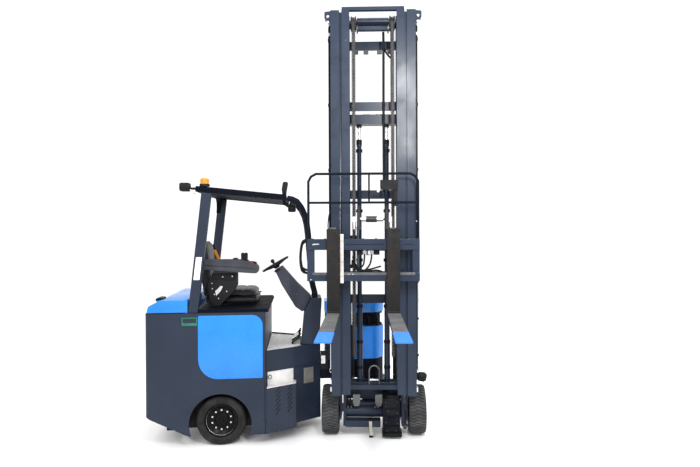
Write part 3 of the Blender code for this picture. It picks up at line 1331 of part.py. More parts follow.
def centre_on_floor():
    """Move the truck so that its origin is the middle of its box, on the floor."""
    bpy.context.view_layer.update()
    graph = bpy.context.evaluated_depsgraph_get()
    lows = Vector((1e9, 1e9, 1e9))
    highs = -lows
    for piece in parts.objects:
        if piece.type != "MESH":
            continue
        solid = piece.evaluated_get(graph)
        for vertex in solid.data.vertices:
            point = solid.matrix_world @ vertex.co
            lows = Vector(map(min, lows, point))
            highs = Vector(map(max, highs, point))
    middle = (lows + highs) / 2
    placing.location = (-middle.x, -middle.y, -lows.z)
    bpy.context.view_layer.update()


assemble()
centre_on_floor()
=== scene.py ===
# Dresses the articulated forklift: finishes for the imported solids, and the small pieces round them.
import json
from math import atan2, cos, exp, pi, radians, sin

import bmesh
import bpy
from mathutils import Matrix, Vector

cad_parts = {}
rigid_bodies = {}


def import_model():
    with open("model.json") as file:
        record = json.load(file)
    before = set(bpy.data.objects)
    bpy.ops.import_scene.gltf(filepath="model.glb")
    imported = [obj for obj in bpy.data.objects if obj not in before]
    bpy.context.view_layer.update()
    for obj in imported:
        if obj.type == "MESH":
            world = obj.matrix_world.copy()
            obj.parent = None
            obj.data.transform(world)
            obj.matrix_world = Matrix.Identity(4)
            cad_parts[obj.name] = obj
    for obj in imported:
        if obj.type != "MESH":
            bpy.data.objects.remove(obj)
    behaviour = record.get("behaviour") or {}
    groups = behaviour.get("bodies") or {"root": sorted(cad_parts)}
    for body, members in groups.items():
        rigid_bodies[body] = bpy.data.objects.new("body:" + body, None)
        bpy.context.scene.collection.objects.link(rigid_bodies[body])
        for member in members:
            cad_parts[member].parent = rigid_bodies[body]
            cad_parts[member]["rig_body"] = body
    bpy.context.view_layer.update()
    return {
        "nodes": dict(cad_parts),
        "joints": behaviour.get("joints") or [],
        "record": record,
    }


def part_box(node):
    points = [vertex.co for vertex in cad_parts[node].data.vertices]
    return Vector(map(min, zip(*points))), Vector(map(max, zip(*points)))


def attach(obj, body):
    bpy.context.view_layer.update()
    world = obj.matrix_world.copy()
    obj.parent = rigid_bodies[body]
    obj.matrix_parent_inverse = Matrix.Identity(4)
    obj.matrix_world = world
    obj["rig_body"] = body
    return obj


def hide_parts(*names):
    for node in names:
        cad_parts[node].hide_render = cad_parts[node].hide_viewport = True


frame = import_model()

scene = bpy.context.scene

# The truck's own frames, in which every piece below is drawn: x ahead, y left, z up
joints = {joint["name"]: joint for joint in frame["joints"]}
pivot = Vector(joints["articulation"]["pos_m"])
pivotHeight = 0.4  # of that joint's point above the floor
mastLeft = joints["mast_tilt"]["axis"]
truckPlace = Matrix.Translation((pivot.x, pivot.y, pivot.z - pivotHeight))
frontPlace = truckPlace @ Matrix.Rotation(atan2(-mastLeft[0], mastLeft[1]), 4, "Z")
rearBodies = ("chassis", "bonnet_lid", "steering", "rear_wheel_left", "rear_wheel_right")


def placeOf(body):
    return truckPlace if body in rearBodies else frontPlace


# Camera, floor and light

cameraView = {
    "lens": 26.93,
    "place": (-0.692, -5.103, 1.868),
    "yaw": -5.262,      # degrees from straight across the truck
    "pitch": -0.289,
    "roll": -0.223,
}


def makeCamera():
    data = bpy.data.cameras.new("photoCamera")
    camera = bpy.data.objects.new("photoCamera", data)
    scene.collection.objects.link(camera)
    data.lens = cameraView["lens"]
    data.sensor_width = 36.0
    data.clip_end = 200.0
    yaw, pitch = radians(cameraView["yaw"]), radians(cameraView["pitch"])
    ahead = Vector((-sin(yaw) * cos(pitch), cos(yaw) * cos(pitch), sin(pitch)))
    right = Vector((cos(yaw), sin(yaw), 0.0))
    above = right.cross(ahead)
    roll = radians(cameraView["roll"])
    right, above = (right * cos(roll) + above * sin(roll), above * cos(roll) - right * sin(roll))
    turn = Matrix((right, above, -ahead)).transposed().to_4x4()
    camera.matrix_world = Matrix.Translation(truckPlace.translation + Vector(cameraView["place"])) @ turn
    scene.camera = camera


studio = {
    "floorColour": (0.9, 0.9, 0.905),
    "floorReach": 60.0,
    "worldStrength": 1.16,
    # name, place in the truck's frame, what it looks at, (width, height), watts
    "lamps": [("keyLamp", (-3.2, -4.6, 4.6), (-0.6, 0.0, 1.2), (2.6, 2.6), 150.0),
              ("sideLamp", (3.6, -3.0, 3.6), (0.0, -0.2, 1.6), (2.4, 2.4), 80.0),
              ("topLamp", (-0.4, 0.4, 6.2), (-0.4, -0.2, 0.0), (4.0, 4.0), 190.0),
              ("glareHigh", (0.113, -3.5, 3.956), (0.217, -0.63, 3.15), (0.24, 0.36), 60.0),
              ("glareLow", (0.1, -3.5, 3.19), (0.2, -0.63, 2.68), (0.22, 0.6), 48.0)],
}


def makeStudio():
    world = bpy.data.worlds.new("paleStudio")
    scene.world = world
    world.use_nodes = True
    sky = world.node_tree.nodes["Background"]
    sky.inputs["Color"].default_value = (1.0, 1.0, 1.0, 1.0)
    sky.inputs["Strength"].default_value = studio["worldStrength"]
    for name, place, aim, size, watts in studio["lamps"]:
        data = bpy.data.lights.new(name, "AREA")
        data.shape = "RECTANGLE"
        data.size, data.size_y = size
        data.energy = watts
        lamp = bpy.data.objects.new(name, data)
        lamp.visible_camera = False
        scene.collection.objects.link(lamp)
        start = truckPlace @ Vector(place)
        aimed = (truckPlace @ Vector(aim) - start).to_track_quat("-Z", "Y").to_matrix().to_4x4()
        lamp.matrix_world = Matrix.Translation(start) @ aimed
    reach = studio["floorReach"]
    floorMesh = bpy.data.meshes.new("studioFloor")
    floorMesh.from_pydata([(-reach, -reach, 0), (reach, -reach, 0), (reach, reach, 0), (-reach, reach, 0)],
                          [], [(0, 1, 2, 3)])
    floor = bpy.data.objects.new("studioFloor", floorMesh)
    floor.location.z = -0.0005
    scene.collection.objects.link(floor)
    material = bpy.data.materials.new("paleFloor")
    material.use_nodes = True
    shader = material.node_tree.nodes["Principled BSDF"]
    shader.inputs["Base Color"].default_value = (*studio["floorColour"], 1.0)
    shader.inputs["Roughness"].default_value = 0.45
    shader.inputs["Specular IOR Level"].default_value = 0.35
    floorMesh.materials.append(material)
    scene.view_settings.view_transform = "Standard"


makeCamera()
makeStudio()
print("stage: camera, floor and light")


# Finishes

finishes = {}


class Finish:  # a material with its node tree at hand

    def __init__(self, name, colour, roughness, metallic=0.0, **sockets):
        material = finishes[name] = bpy.data.materials.new(name)
        material.use_nodes = True
        self.tree = material.node_tree
        self.shader = self.tree.nodes["Principled BSDF"]
        self.shader.inputs["Base Color"].default_value = (*colour, 1.0)
        self.shader.inputs["Roughness"].default_value = roughness
        self.shader.inputs["Metallic"].default_value = metallic
        for socket, value in sockets.items():
            self.shader.inputs[socket.replace("_", " ")].default_value = value
        self.place = self.tree.nodes.new("ShaderNodeTexCoord").outputs["Object"]
        self.height = None

    def node(self, kind, **values):
        made = self.tree.nodes.new("ShaderNode" + kind)
        for key, value in values.items():
            setattr(made, key, value)
        return made

    def link(self, start, end):
        self.tree.links.new(start, end)

    def turned(self, matrix):  # object coordinates seen from another frame
        mapping = self.node("Mapping", vector_type="POINT")
        back = matrix.inverted()
        mapping.inputs["Location"].default_value = back.translation
        mapping.inputs["Rotation"].default_value = back.to_euler()
        self.link(self.place, mapping.inputs["Vector"])
        return mapping.outputs["Vector"]

    def noise(self, scale, detail=4.0, stretch=None, roughness=0.55):
        texture = self.node("TexNoise")
        texture.inputs["Scale"].default_value = scale
        texture.inputs["Detail"].default_value = detail
        texture.inputs["Roughness"].default_value = roughness
        source = self.place
        if stretch:
            mapping = self.node("Mapping")
            mapping.inputs["Scale"].default_value = stretch
            self.link(self.place, mapping.inputs["Vector"])
            source = mapping.outputs["Vector"]
        self.link(source, texture.inputs["Vector"])
        return texture.outputs["Fac"]

    def ramp(self, source, *stops):  # stops of (place, colour)
        ramp = self.node("ValToRGB")
        elements = ramp.color_ramp.elements
        while len(elements) < len(stops):
            elements.new(0.5)
        for element, (place, colour) in zip(elements, stops):
            element.position = place
            element.color = (*colour, 1.0)
        self.link(source, ramp.inputs["Fac"])
        return ramp.outputs["Color"]

    def spread(self, source, low, high, start=0.3, end=0.7):  # a grey value from low to high
        span = self.node("MapRange")
        for socket, value in (("From Min", start), ("From Max", end), ("To Min", low), ("To Max", high)):
            span.inputs[socket].default_value = value
        self.link(source, span.inputs["Value"])
        return span.outputs["Result"]

    def mix(self, share, first, second):
        blend = self.node("Mix", data_type="RGBA")
        for socket, value in (("A", first), ("B", second)):
            target = [one for one in blend.inputs if one.name == socket and one.type == "RGBA"][0]
            if hasattr(value, "is_output"):
                self.link(value, target)
            else:
                target.default_value = (*value, 1.0)
        self.link(share, blend.inputs[0])
        return [one for one in blend.outputs if one.type == "RGBA"][0]

    def times(self, first, second):
        product = self.node("Math", operation="MULTIPLY")
        self.link(first, product.inputs[0])
        self.link(second, product.inputs[1])
        return product.outputs["Value"]

    def axis(self, name, source=None):
        split = self.node("SeparateXYZ")
        self.link(source or self.place, split.inputs["Vector"])
        return split.outputs[name]

    def paint(self, colourOutput):
        self.link(colourOutput, self.shader.inputs["Base Color"])

    def rough(self, output):
        self.link(output, self.shader.inputs["Roughness"])

    def bump(self, output, strength, distance):
        made = self.node("Bump")
        made.inputs["Strength"].default_value = strength
        made.inputs["Distance"].default_value = distance
        self.link(output, made.inputs["Height"])
        if self.height:
            self.link(self.height, made.inputs["Normal"])
        self.height = made.outputs["Normal"]
        self.link(self.height, self.shader.inputs["Normal"])

    def grain(self, scale, strength, distance, feature="F1"):  # moulded or leather grain
        cells = self.node("TexVoronoi", feature=feature)
        cells.inputs["Scale"].default_value = scale
        self.link(self.place, cells.inputs["Vector"])
        self.bump(cells.outputs["Distance"], strength, distance)


def shade(colour, factor):
    return tuple(min(1.0, channel * factor) for channel in colour)


def makePaint(name, base, roughness, dust, coat, gloss=0.2):
    paint = Finish(name, base, roughness, Coat_Weight=coat, Coat_Roughness=0.15, Specular_IOR_Level=gloss)
    tone = paint.ramp(paint.noise(2.2, 5.0), (0.34, shade(base, 0.88)), (0.7, shade(base, 1.16)))
    if dust:
        near = paint.spread(paint.axis("Z"), dust, 0.0, 0.04, 0.7)
        patches = paint.spread(paint.noise(5.0, 6.0), 0.0, 1.0, 0.42, 0.68)
        tone = paint.mix(paint.times(near, patches), tone, (0.16, 0.155, 0.145))
    paint.paint(tone)
    paint.rough(paint.spread(paint.noise(9.0, 6.0), roughness - 0.07, roughness + 0.08))
    paint.bump(paint.noise(900.0, 2.0), 0.06, 0.0005)


def makePlastic(name, base, roughness, grainScale=1400.0, gloss=0.14):
    plastic = Finish(name, base, roughness, Specular_IOR_Level=gloss)
    plastic.paint(plastic.ramp(plastic.noise(6.0, 5.0), (0.35, shade(base, 0.8)), (0.72, shade(base, 1.6))))
    plastic.rough(plastic.spread(plastic.noise(25.0, 6.0), roughness - 0.08, roughness + 0.1))
    plastic.grain(grainScale, 0.15, 0.0004)


def makeConsolePlastic():  # grey-blue pad above, black bracket below
    pad, bracket, seam = (0.034, 0.037, 0.046), (0.005, 0.0055, 0.007), 1.489
    console = Finish("consolePlastic", pad, 0.48, Specular_IOR_Level=0.22)
    tone = console.ramp(console.noise(9.0, 5.0), (0.35, shade(pad, 0.85)), (0.72, shade(pad, 1.3)))
    own = console.axis("Z", console.turned(truckPlace))
    console.paint(console.mix(console.spread(own, 0.0, 1.0, seam - 0.001, seam + 0.001), bracket, tone))
    console.grain(1400.0, 0.15, 0.0004)


def makeNosePaint():  # the cover's rear flange is dark
    blue, flange = (0.012, 0.198, 0.69), -0.405
    nose = Finish("nosePaint", blue, 0.3, Coat_Weight=0.15, Coat_Roughness=0.15, Specular_IOR_Level=0.24)
    tone = nose.ramp(nose.noise(2.2, 5.0), (0.34, shade(blue, 0.88)), (0.7, shade(blue, 1.16)))
    own = nose.axis("X", nose.turned(truckPlace))
    shown = nose.spread(own, 0.0, 1.0, flange - 0.001, flange + 0.001)
    nose.paint(nose.mix(shown, (0.012, 0.017, 0.03), tone))
    nose.rough(nose.spread(nose.noise(9.0, 6.0), 0.23, 0.38))


def makeVinyl():
    base = (0.0048, 0.0048, 0.006)
    vinyl = Finish("blackVinyl", base, 0.4, Sheen_Weight=0.02, Specular_IOR_Level=0.22)
    vinyl.paint(vinyl.ramp(vinyl.noise(7.0, 4.0), (0.3, shade(base, 0.8)), (0.75, shade(base, 1.9))))
    vinyl.rough(vinyl.spread(vinyl.noise(18.0, 5.0), 0.32, 0.5))
    vinyl.grain(520.0, 0.35, 0.0008, "DISTANCE_TO_EDGE")


def makeTyreRubber(name, base, dusty):
    rubber = Finish(name, base, 0.7, Specular_IOR_Level=0.16)
    dust = rubber.spread(rubber.noise(11.0, 8.0), 0.0, 0.55, 0.44, 0.74)
    rubber.paint(rubber.mix(dust, base, dusty))
    rubber.rough(rubber.spread(rubber.noise(30.0, 5.0), 0.62, 0.86))
    rubber.bump(rubber.noise(420.0, 4.0), 0.25, 0.001)


def makeMetal(name, low, high, roughness, grainStretch=(1.0, 1.0, 0.12), metallic=1.0):
    metal = Finish(name, low, roughness, metallic)
    metal.paint(metal.ramp(metal.noise(9.0, 6.0), (0.34, low), (0.7, high)))
    metal.rough(metal.spread(metal.noise(46.0, 6.0, grainStretch), roughness - 0.08, roughness + 0.12))
    metal.bump(metal.noise(260.0, 4.0, grainStretch), 0.08, 0.0004)


def makeCastIron():
    iron = Finish("castIron", (0.03, 0.03, 0.033), 0.62, 0.3)
    iron.paint(iron.ramp(iron.noise(14.0, 6.0), (0.3, (0.022, 0.022, 0.024)), (0.75, (0.045, 0.043, 0.04))))
    iron.bump(iron.noise(240.0, 6.0), 0.4, 0.0015)


forkPaint = {  # in the mast's frame, x ahead: where the worn top and the painted tip begin
    "wornFrom": 0.8, "tipFrom": 1.62, "tipEdge": 0.006,
    "steel": (0.006, 0.0056, 0.0062), "rust": (0.022, 0.012, 0.008),
    "wearAndHighlight": (0.098, 0.104, 0.114), "tan": (0.125, 0.088, 0.06), "tip": (0.03, 0.15, 0.59),
}


def makeForkSteel():
    look = forkPaint
    steel = Finish("forkSteel", look["steel"], 0.55, Specular_IOR_Level=0.18)
    own = steel.turned(frontPlace)
    along = steel.axis("X", own)
    facing = steel.axis("Z", steel.node("NewGeometry").outputs["Normal"])
    rust = steel.spread(steel.noise(7.0, 9.0, (1.0, 1.0, 0.55), 0.65), 0.0, 0.55, 0.52, 0.7)
    dark = steel.mix(rust, look["steel"], look["rust"])
    streaks = steel.spread(steel.noise(16.0, 9.0, (0.5, 0.5, 1.0), 0.7), 0.55, 1.0, 0.34, 0.62)
    onTop = steel.times(steel.spread(facing, 0.0, 1.0, 0.55, 0.9), streaks)
    wearAndHighlight = steel.mix(steel.spread(steel.noise(30.0, 6.0), 0.0, 1.0, 0.48, 0.72), look["wearAndHighlight"], look["tan"])
    pastHeel = steel.spread(along, 0.0, 1.0, look["wornFrom"], look["wornFrom"] + 0.03)
    blade = steel.mix(steel.times(onTop, pastHeel), dark, wearAndHighlight)
    scuffs = steel.spread(steel.noise(24.0, 8.0, None, 0.7), 0.82, 1.0, 0.3, 0.44)
    tip = steel.spread(along, 0.0, 1.0, look["tipFrom"], look["tipFrom"] + look["tipEdge"])
    tip = steel.times(tip, scuffs)
    steel.paint(steel.mix(tip, blade, look["tip"]))
    steel.rough(steel.spread(steel.noise(26.0, 7.0), 0.42, 0.74))
    steel.bump(steel.noise(180.0, 8.0), 0.25, 0.0008)


def makeFloorMat():
    mat = Finish("floorMat", (0.5, 0.5, 0.49), 0.78)
    mat.paint(mat.ramp(mat.noise(60.0, 8.0), (0.32, (0.34, 0.345, 0.34)), (0.66, (0.62, 0.62, 0.61))))
    ribs = mat.node("TexWave", bands_direction="Y")
    ribs.inputs["Scale"].default_value = 26.0
    mat.link(mat.place, ribs.inputs["Vector"])
    mat.bump(ribs.outputs["Fac"], 0.4, 0.0015)


def makeLens(name, colour):
    lens = Finish(name, colour, 0.15, Transmission_Weight=0.2, IOR=1.49)
    lens.paint(lens.ramp(lens.noise(18.0, 3.0), (0.3, shade(colour, 0.9)), (0.7, shade(colour, 1.1))))
    ribs = lens.node("TexWave", bands_direction="Z")
    ribs.inputs["Scale"].default_value = 60.0
    lens.link(lens.place, ribs.inputs["Vector"])
    lens.bump(ribs.outputs["Fac"], 0.25, 0.0008)


makePaint("darkPaint", (0.0155, 0.0225, 0.04), 0.46, 0.05, 0.0)
makePaint("mastPaint", (0.0155, 0.024, 0.043), 0.32, 0.05, 0.06, 0.2)
makePaint("columnPaint", (0.034, 0.039, 0.054), 0.5, 0.0, 0.0)
makePaint("guardPaint", (0.0034, 0.0046, 0.008), 0.6, 0.0, 0.0, 0.03)
makePaint("framePaint", (0.0056, 0.0074, 0.0125), 0.5, 0.03, 0.0, 0.04)
makePaint("bluePaint", (0.01, 0.182, 0.615), 0.26, 0.0, 0.25, 0.3)
makeNosePaint()
makePlastic("blackPlastic", (0.005, 0.0052, 0.0062), 0.48)
makeConsolePlastic()
makePlastic("hoseRubber", (0.0045, 0.0045, 0.005), 0.5, 900.0)
makeVinyl()
makeTyreRubber("tyreRubber", (0.0125, 0.0125, 0.012), (0.048, 0.047, 0.045))
makeTyreRubber("treadRubber", (0.036, 0.037, 0.039), (0.11, 0.11, 0.108))
makePlastic("rimBlack", (0.003, 0.003, 0.0035), 0.34, 600.0, 0.1)
makeMetal("brightPlate", (0.54, 0.53, 0.52), (0.72, 0.71, 0.7), 0.42, (1.0, 1.0, 14.0), 0.55)
makeMetal("greyPlate", (0.15, 0.145, 0.135), (0.24, 0.235, 0.22), 0.55, (1.0, 1.0, 8.0), 0.2)
makeMetal("boltSteel", (0.55, 0.55, 0.54), (0.78, 0.78, 0.77), 0.3)
makeCastIron()
makeForkSteel()
makeMetal("chromeRod", (0.58, 0.58, 0.59), (0.72, 0.72, 0.73), 0.18)
makeMetal("chainSteel", (0.004, 0.004, 0.005), (0.016, 0.015, 0.015), 0.55, None, 0.1)
makeMetal("sheaveSteel", (0.008, 0.009, 0.012), (0.024, 0.026, 0.032), 0.4, None, 0.3)
makeMetal("darkSteel", (0.07, 0.072, 0.076), (0.15, 0.15, 0.15), 0.4, None, 0.6)
makeFloorMat()
makeLens("amberLens", (0.9, 0.27, 0.01))
makePlastic("orangeWebbing", (0.85, 0.26, 0.02), 0.6, 700.0)
makePlastic("redPlastic", (0.48, 0.02, 0.04), 0.4)
makeLens("paleLens", (0.55, 0.57, 0.58))
makePlastic("greenPlate", (0.02, 0.15, 0.085), 0.45)
makePlastic("whitePlate", (0.6, 0.58, 0.59), 0.42)
makePlastic("strapWebbing", (0.36, 0.35, 0.29), 0.6)
makePlastic("creamStrip", (0.45, 0.41, 0.37), 0.6)
slotFinishes = {
    "dark_paint": "darkPaint", "blue_paint": "bluePaint", "black_plastic": "blackPlastic",
    "black_vinyl": "blackVinyl", "tyre_rubber": "tyreRubber", "rim_black": "rimBlack",
    "bright_plate": "brightPlate", "cast_iron": "castIron", "battery_case": "blackPlastic",
    "fork_steel": "forkSteel", "chrome_rod": "chromeRod", "chain_steel": "chainSteel",
    "amber_lens": "amberLens",
}
nodeSlots = {part["node"]: part["material_slot"] for part in frame["record"]["subparts"]}
nodeFinishes = {
    "steering_column": "columnPaint", "front_frame": "darkPaint", "nose_arm": "framePaint",
    "nose_panel": "nosePaint", "guard_roof": "guardPaint", "guard_leg_left": "framePaint",
    "guard_leg_right": "framePaint", "load_backrest": "framePaint",
    "seat_suspension": "blackVinyl", "armrest_console": "consolePlastic",
    "hose_run_left": "hoseRubber", "hose_run_right": "hoseRubber",
}
nodeFinishes.update({node: "mastPaint" for node in (
    "mast_outer", "mast_middle", "mast_inner", "carriage", "shift_frame",
    "lift_barrel_left", "lift_barrel_right")})
print("stage: finishes")


# Making pieces

def settle(piece, finish, body):  # gives a new object its finish and its body
    scene.collection.objects.link(piece)
    piece.data.materials.clear()
    piece.data.materials.append(finishes[finish])
    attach(piece, body)
    return piece


def breakEdges(piece, width, angle=32.0):
    if width > 0:
        bevel = piece.modifiers.new("brokenEdges", "BEVEL")
        bevel.width = width
        bevel.segments = 4 if width > 0.015 else 2
        bevel.limit_method = "ANGLE"
        bevel.angle_limit = radians(angle)
        bevel.harden_normals = True
    piece.data.shade_smooth()
    piece.data.set_sharp_from_angle(angle=radians(angle))


def smoothPath(points, steps=6):
    points = [Vector(point) for point in points]
    ends = [points[0] * 2 - points[1]] + points + [points[-1] * 2 - points[-2]]
    path = []
    for index in range(1, len(ends) - 2):
        before, start, end, after = ends[index - 1:index + 3]
        for step in range(steps):
            t = step / steps
            path.append(0.5 * (2 * start + (end - before) * t
                               + (2 * before - 5 * start + 4 * end - after) * t ** 2
                               + (3 * start - before - 3 * end + after) * t ** 3))
    return path + [points[-1]]


def ownCorners(node, body):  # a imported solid's box in its body's own frame, in millimetres
    back = placeOf(body).inverted()
    return [back @ Vector(corner) * 1000 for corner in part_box(node)]


class Form:  # a piece of plates, bars and turned shapes, in millimetres in its body's own frame

    def __init__(self, name, finish, body, place=None):
        self.name, self.finish, self.body = name, finish, body
        self.place = place or placeOf(body)
        self.shape = bmesh.new()

    def faces(self, points, faces):
        made = [self.shape.verts.new(point) for point in points]
        for face in faces:
            self.shape.faces.new([made[index] for index in face])
        return self

    def block(self, low, high, turn=None):
        points = [Vector((x, y, z)) for x in (low[0], high[0]) for y in (low[1], high[1])
                  for z in (low[2], high[2])]
        if turn:
            middle = (Vector(low) + Vector(high)) / 2
            points = [middle + turn @ (point - middle) for point in points]
        return self.faces(points, ((0, 1, 3, 2), (4, 6, 7, 5), (0, 4, 5, 1), (2, 3, 7, 6), (0, 2, 6, 4),
                                   (1, 5, 7, 3)))

    def slab(self, outline, across, start, end):  # an outline in the plane across an axis, drawn out
        order = {"X": (2, 0, 1), "Y": (0, 2, 1), "Z": (0, 1, 2)}[across]
        count = len(outline)
        points = []
        for depth in (start, end):
            points += [tuple((a, b, depth)[index] for index in order) for a, b in outline]
        sides = [(index, (index + 1) % count, (index + 1) % count + count, index + count)
                 for index in range(count)]
        return self.faces(points, [tuple(range(count)), tuple(range(count, 2 * count))] + sides)

    def sweep(self, path, radii, sides):
        path = [Vector(point) for point in path]
        normal = None
        rings = []
        for index, point in enumerate(path):
            ahead = (path[min(index + 1, len(path) - 1)] - path[max(index - 1, 0)]).normalized()
            if normal is None:
                normal = ahead.orthogonal().normalized()
            normal = (normal - ahead * normal.dot(ahead)).normalized()
            other = ahead.cross(normal)
            radius = radii[index] if isinstance(radii, list) else radii
            turns = [2 * pi * step / sides for step in range(sides)]
            rings.append([point + (normal * cos(turn) + other * sin(turn)) * radius for turn in turns])
        faces = [tuple(range(sides)), tuple(range(len(rings) * sides - sides, len(rings) * sides))]
        for ring in range(len(rings) - 1):
            for step in range(sides):
                after = (step + 1) % sides
                faces.append((ring * sides + step, ring * sides + after,
                              (ring + 1) * sides + after, (ring + 1) * sides + step))
        return self.faces([point for ring in rings for point in ring], faces)

    def rod(self, start, end, radius, sides=20, tip=None):
        return self.sweep([start, end], [radius, radius if tip is None else tip], sides)

    def hose(self, points, radius, sides=10, steps=6):
        return self.sweep(smoothPath(points, steps), radius, sides)

    def spin(self, profile, centre, along, sides=48):  # profile of (radius, distance), a closed loop
        turn = Vector((0, 0, 1)).rotation_difference(Vector(along)).to_matrix()
        centre = Vector(centre)
        count = len(profile)
        rings = []
        for radius, distance in profile:
            if radius < 1e-6:
                rings.append([self.shape.verts.new(centre + turn @ Vector((0, 0, distance)))])
            else:
                rings.append([self.shape.verts.new(centre + turn @ Vector(
                    (radius * cos(2 * pi * step / sides), radius * sin(2 * pi * step / sides), distance)))
                    for step in range(sides)])
        for index in range(count):
            first, second = rings[index], rings[(index + 1) % count]
            if len(first) == 1 and len(second) == 1:
                continue
            for step in range(sides):
                after = (step + 1) % sides
                corners = []
                for ring, places in ((first, (step, after)), (second, (after, step))):
                    corners += [ring[0]] if len(ring) == 1 else [ring[place] for place in places]
                self.shape.faces.new(corners)
        return self

    def bolt(self, place, along, radius, height, washer=False):
        place, along = Vector(place), Vector(along).normalized()
        if washer:
            self.rod(place, place + along * 1.6, radius * 1.45, 18)
        self.rod(place + along * 1.4, place + along * height, radius, 6)
        return self.rod(place + along * (height - 1), place + along * (height + 2.5), radius * 0.5, 12)

    def twin(self):  # what is there so far, once more on the truck's other side
        parts = self.shape.verts[:] + self.shape.edges[:] + self.shape.faces[:]
        for copy in bmesh.ops.duplicate(self.shape, geom=parts)["geom"]:
            if isinstance(copy, bmesh.types.BMVert):
                copy.co.y = -copy.co.y
        return self

    def done(self, edge=1.2, angle=32.0, slot=None, replaces=()):
        bmesh.ops.recalc_face_normals(self.shape, faces=self.shape.faces)
        self.shape.transform(self.place @ Matrix.Scale(0.001, 4))
        mesh = bpy.data.meshes.new(self.name)
        self.shape.to_mesh(mesh)
        self.shape.free()
        piece = settle(bpy.data.objects.new(self.name, mesh), self.finish, self.body)
        breakEdges(piece, edge / 1000, angle)
        if replaces:
            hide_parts(*replaces)


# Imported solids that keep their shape: the same, with their edges broken

nodeEdges = {
    "rear_body": 0.004, "side_panel_left": 0.005, "side_panel_right": 0.005, "bonnet": 0.004,
    "nose_panel": 0.006, "nose_hood": 0.004, "foot_well": 0.003, "cowl": 0.006,
    "steering_column": 0.006, "guard_post_left": 0.005, "guard_post_right": 0.005,
    "guard_roof": 0.003, "mast_outer": 0.0022, "mast_middle": 0.002, "mast_inner": 0.002,
    "carriage": 0.0022, "shift_frame": 0.0035, "fork_left": 0.003, "fork_right": 0.003,
    "armrest_console": 0.009, "seat_deck": 0.003, "front_frame": 0.0025, "drive_box": 0.003,
}
ownShapes = ["%s_%s_%s" % (thing, end, side) for thing in ("tyre", "rim")
             for end in ("rear", "front") for side in ("left", "right")]
ownShapes += ["seat_cushion", "seat_backrest", "seat_suspension", "steering_wheel", "beacon", "seat_deck"]


def dress(node):
    mesh = frame["nodes"][node].data.copy()
    shape = bmesh.new()
    shape.from_mesh(mesh)
    bmesh.ops.remove_doubles(shape, verts=shape.verts, dist=0.00004)
    bmesh.ops.dissolve_limit(shape, angle_limit=radians(1.0), verts=shape.verts, edges=shape.edges)
    shape.to_mesh(mesh)
    shape.free()
    finish = nodeFinishes.get(node, slotFinishes[nodeSlots[node]])
    piece = settle(bpy.data.objects.new(node + "_skin", mesh), finish,
                   frame["nodes"][node]["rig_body"])
    breakEdges(piece, nodeEdges.get(node, 0.0018))
    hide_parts(node)


for node in frame["nodes"]:
    if node not in ownShapes:
        dress(node)
print("stage: packed solids")


# Wheels

wheelLook = {
    "rear": {"radius": 214, "width": 150, "nuts": 10, "nutCircle": 84, "lugs": 0},
    "front": {"radius": 217, "width": 156, "nuts": 8, "nutCircle": 82, "lugs": 46},
    "rimShare": 0.675,     # of the tyre's radius, out to the rim's flange
    "lugDepth": 10, "lugShare": 0.6,
    "shoulderFrom": 0.78, "shoulderDrop": 11,     # where the lugs fall away, and by how much
    "lugWave": 10,         # how far a lug's middle runs ahead of its ends
    "axleRadius": 32.5,
}


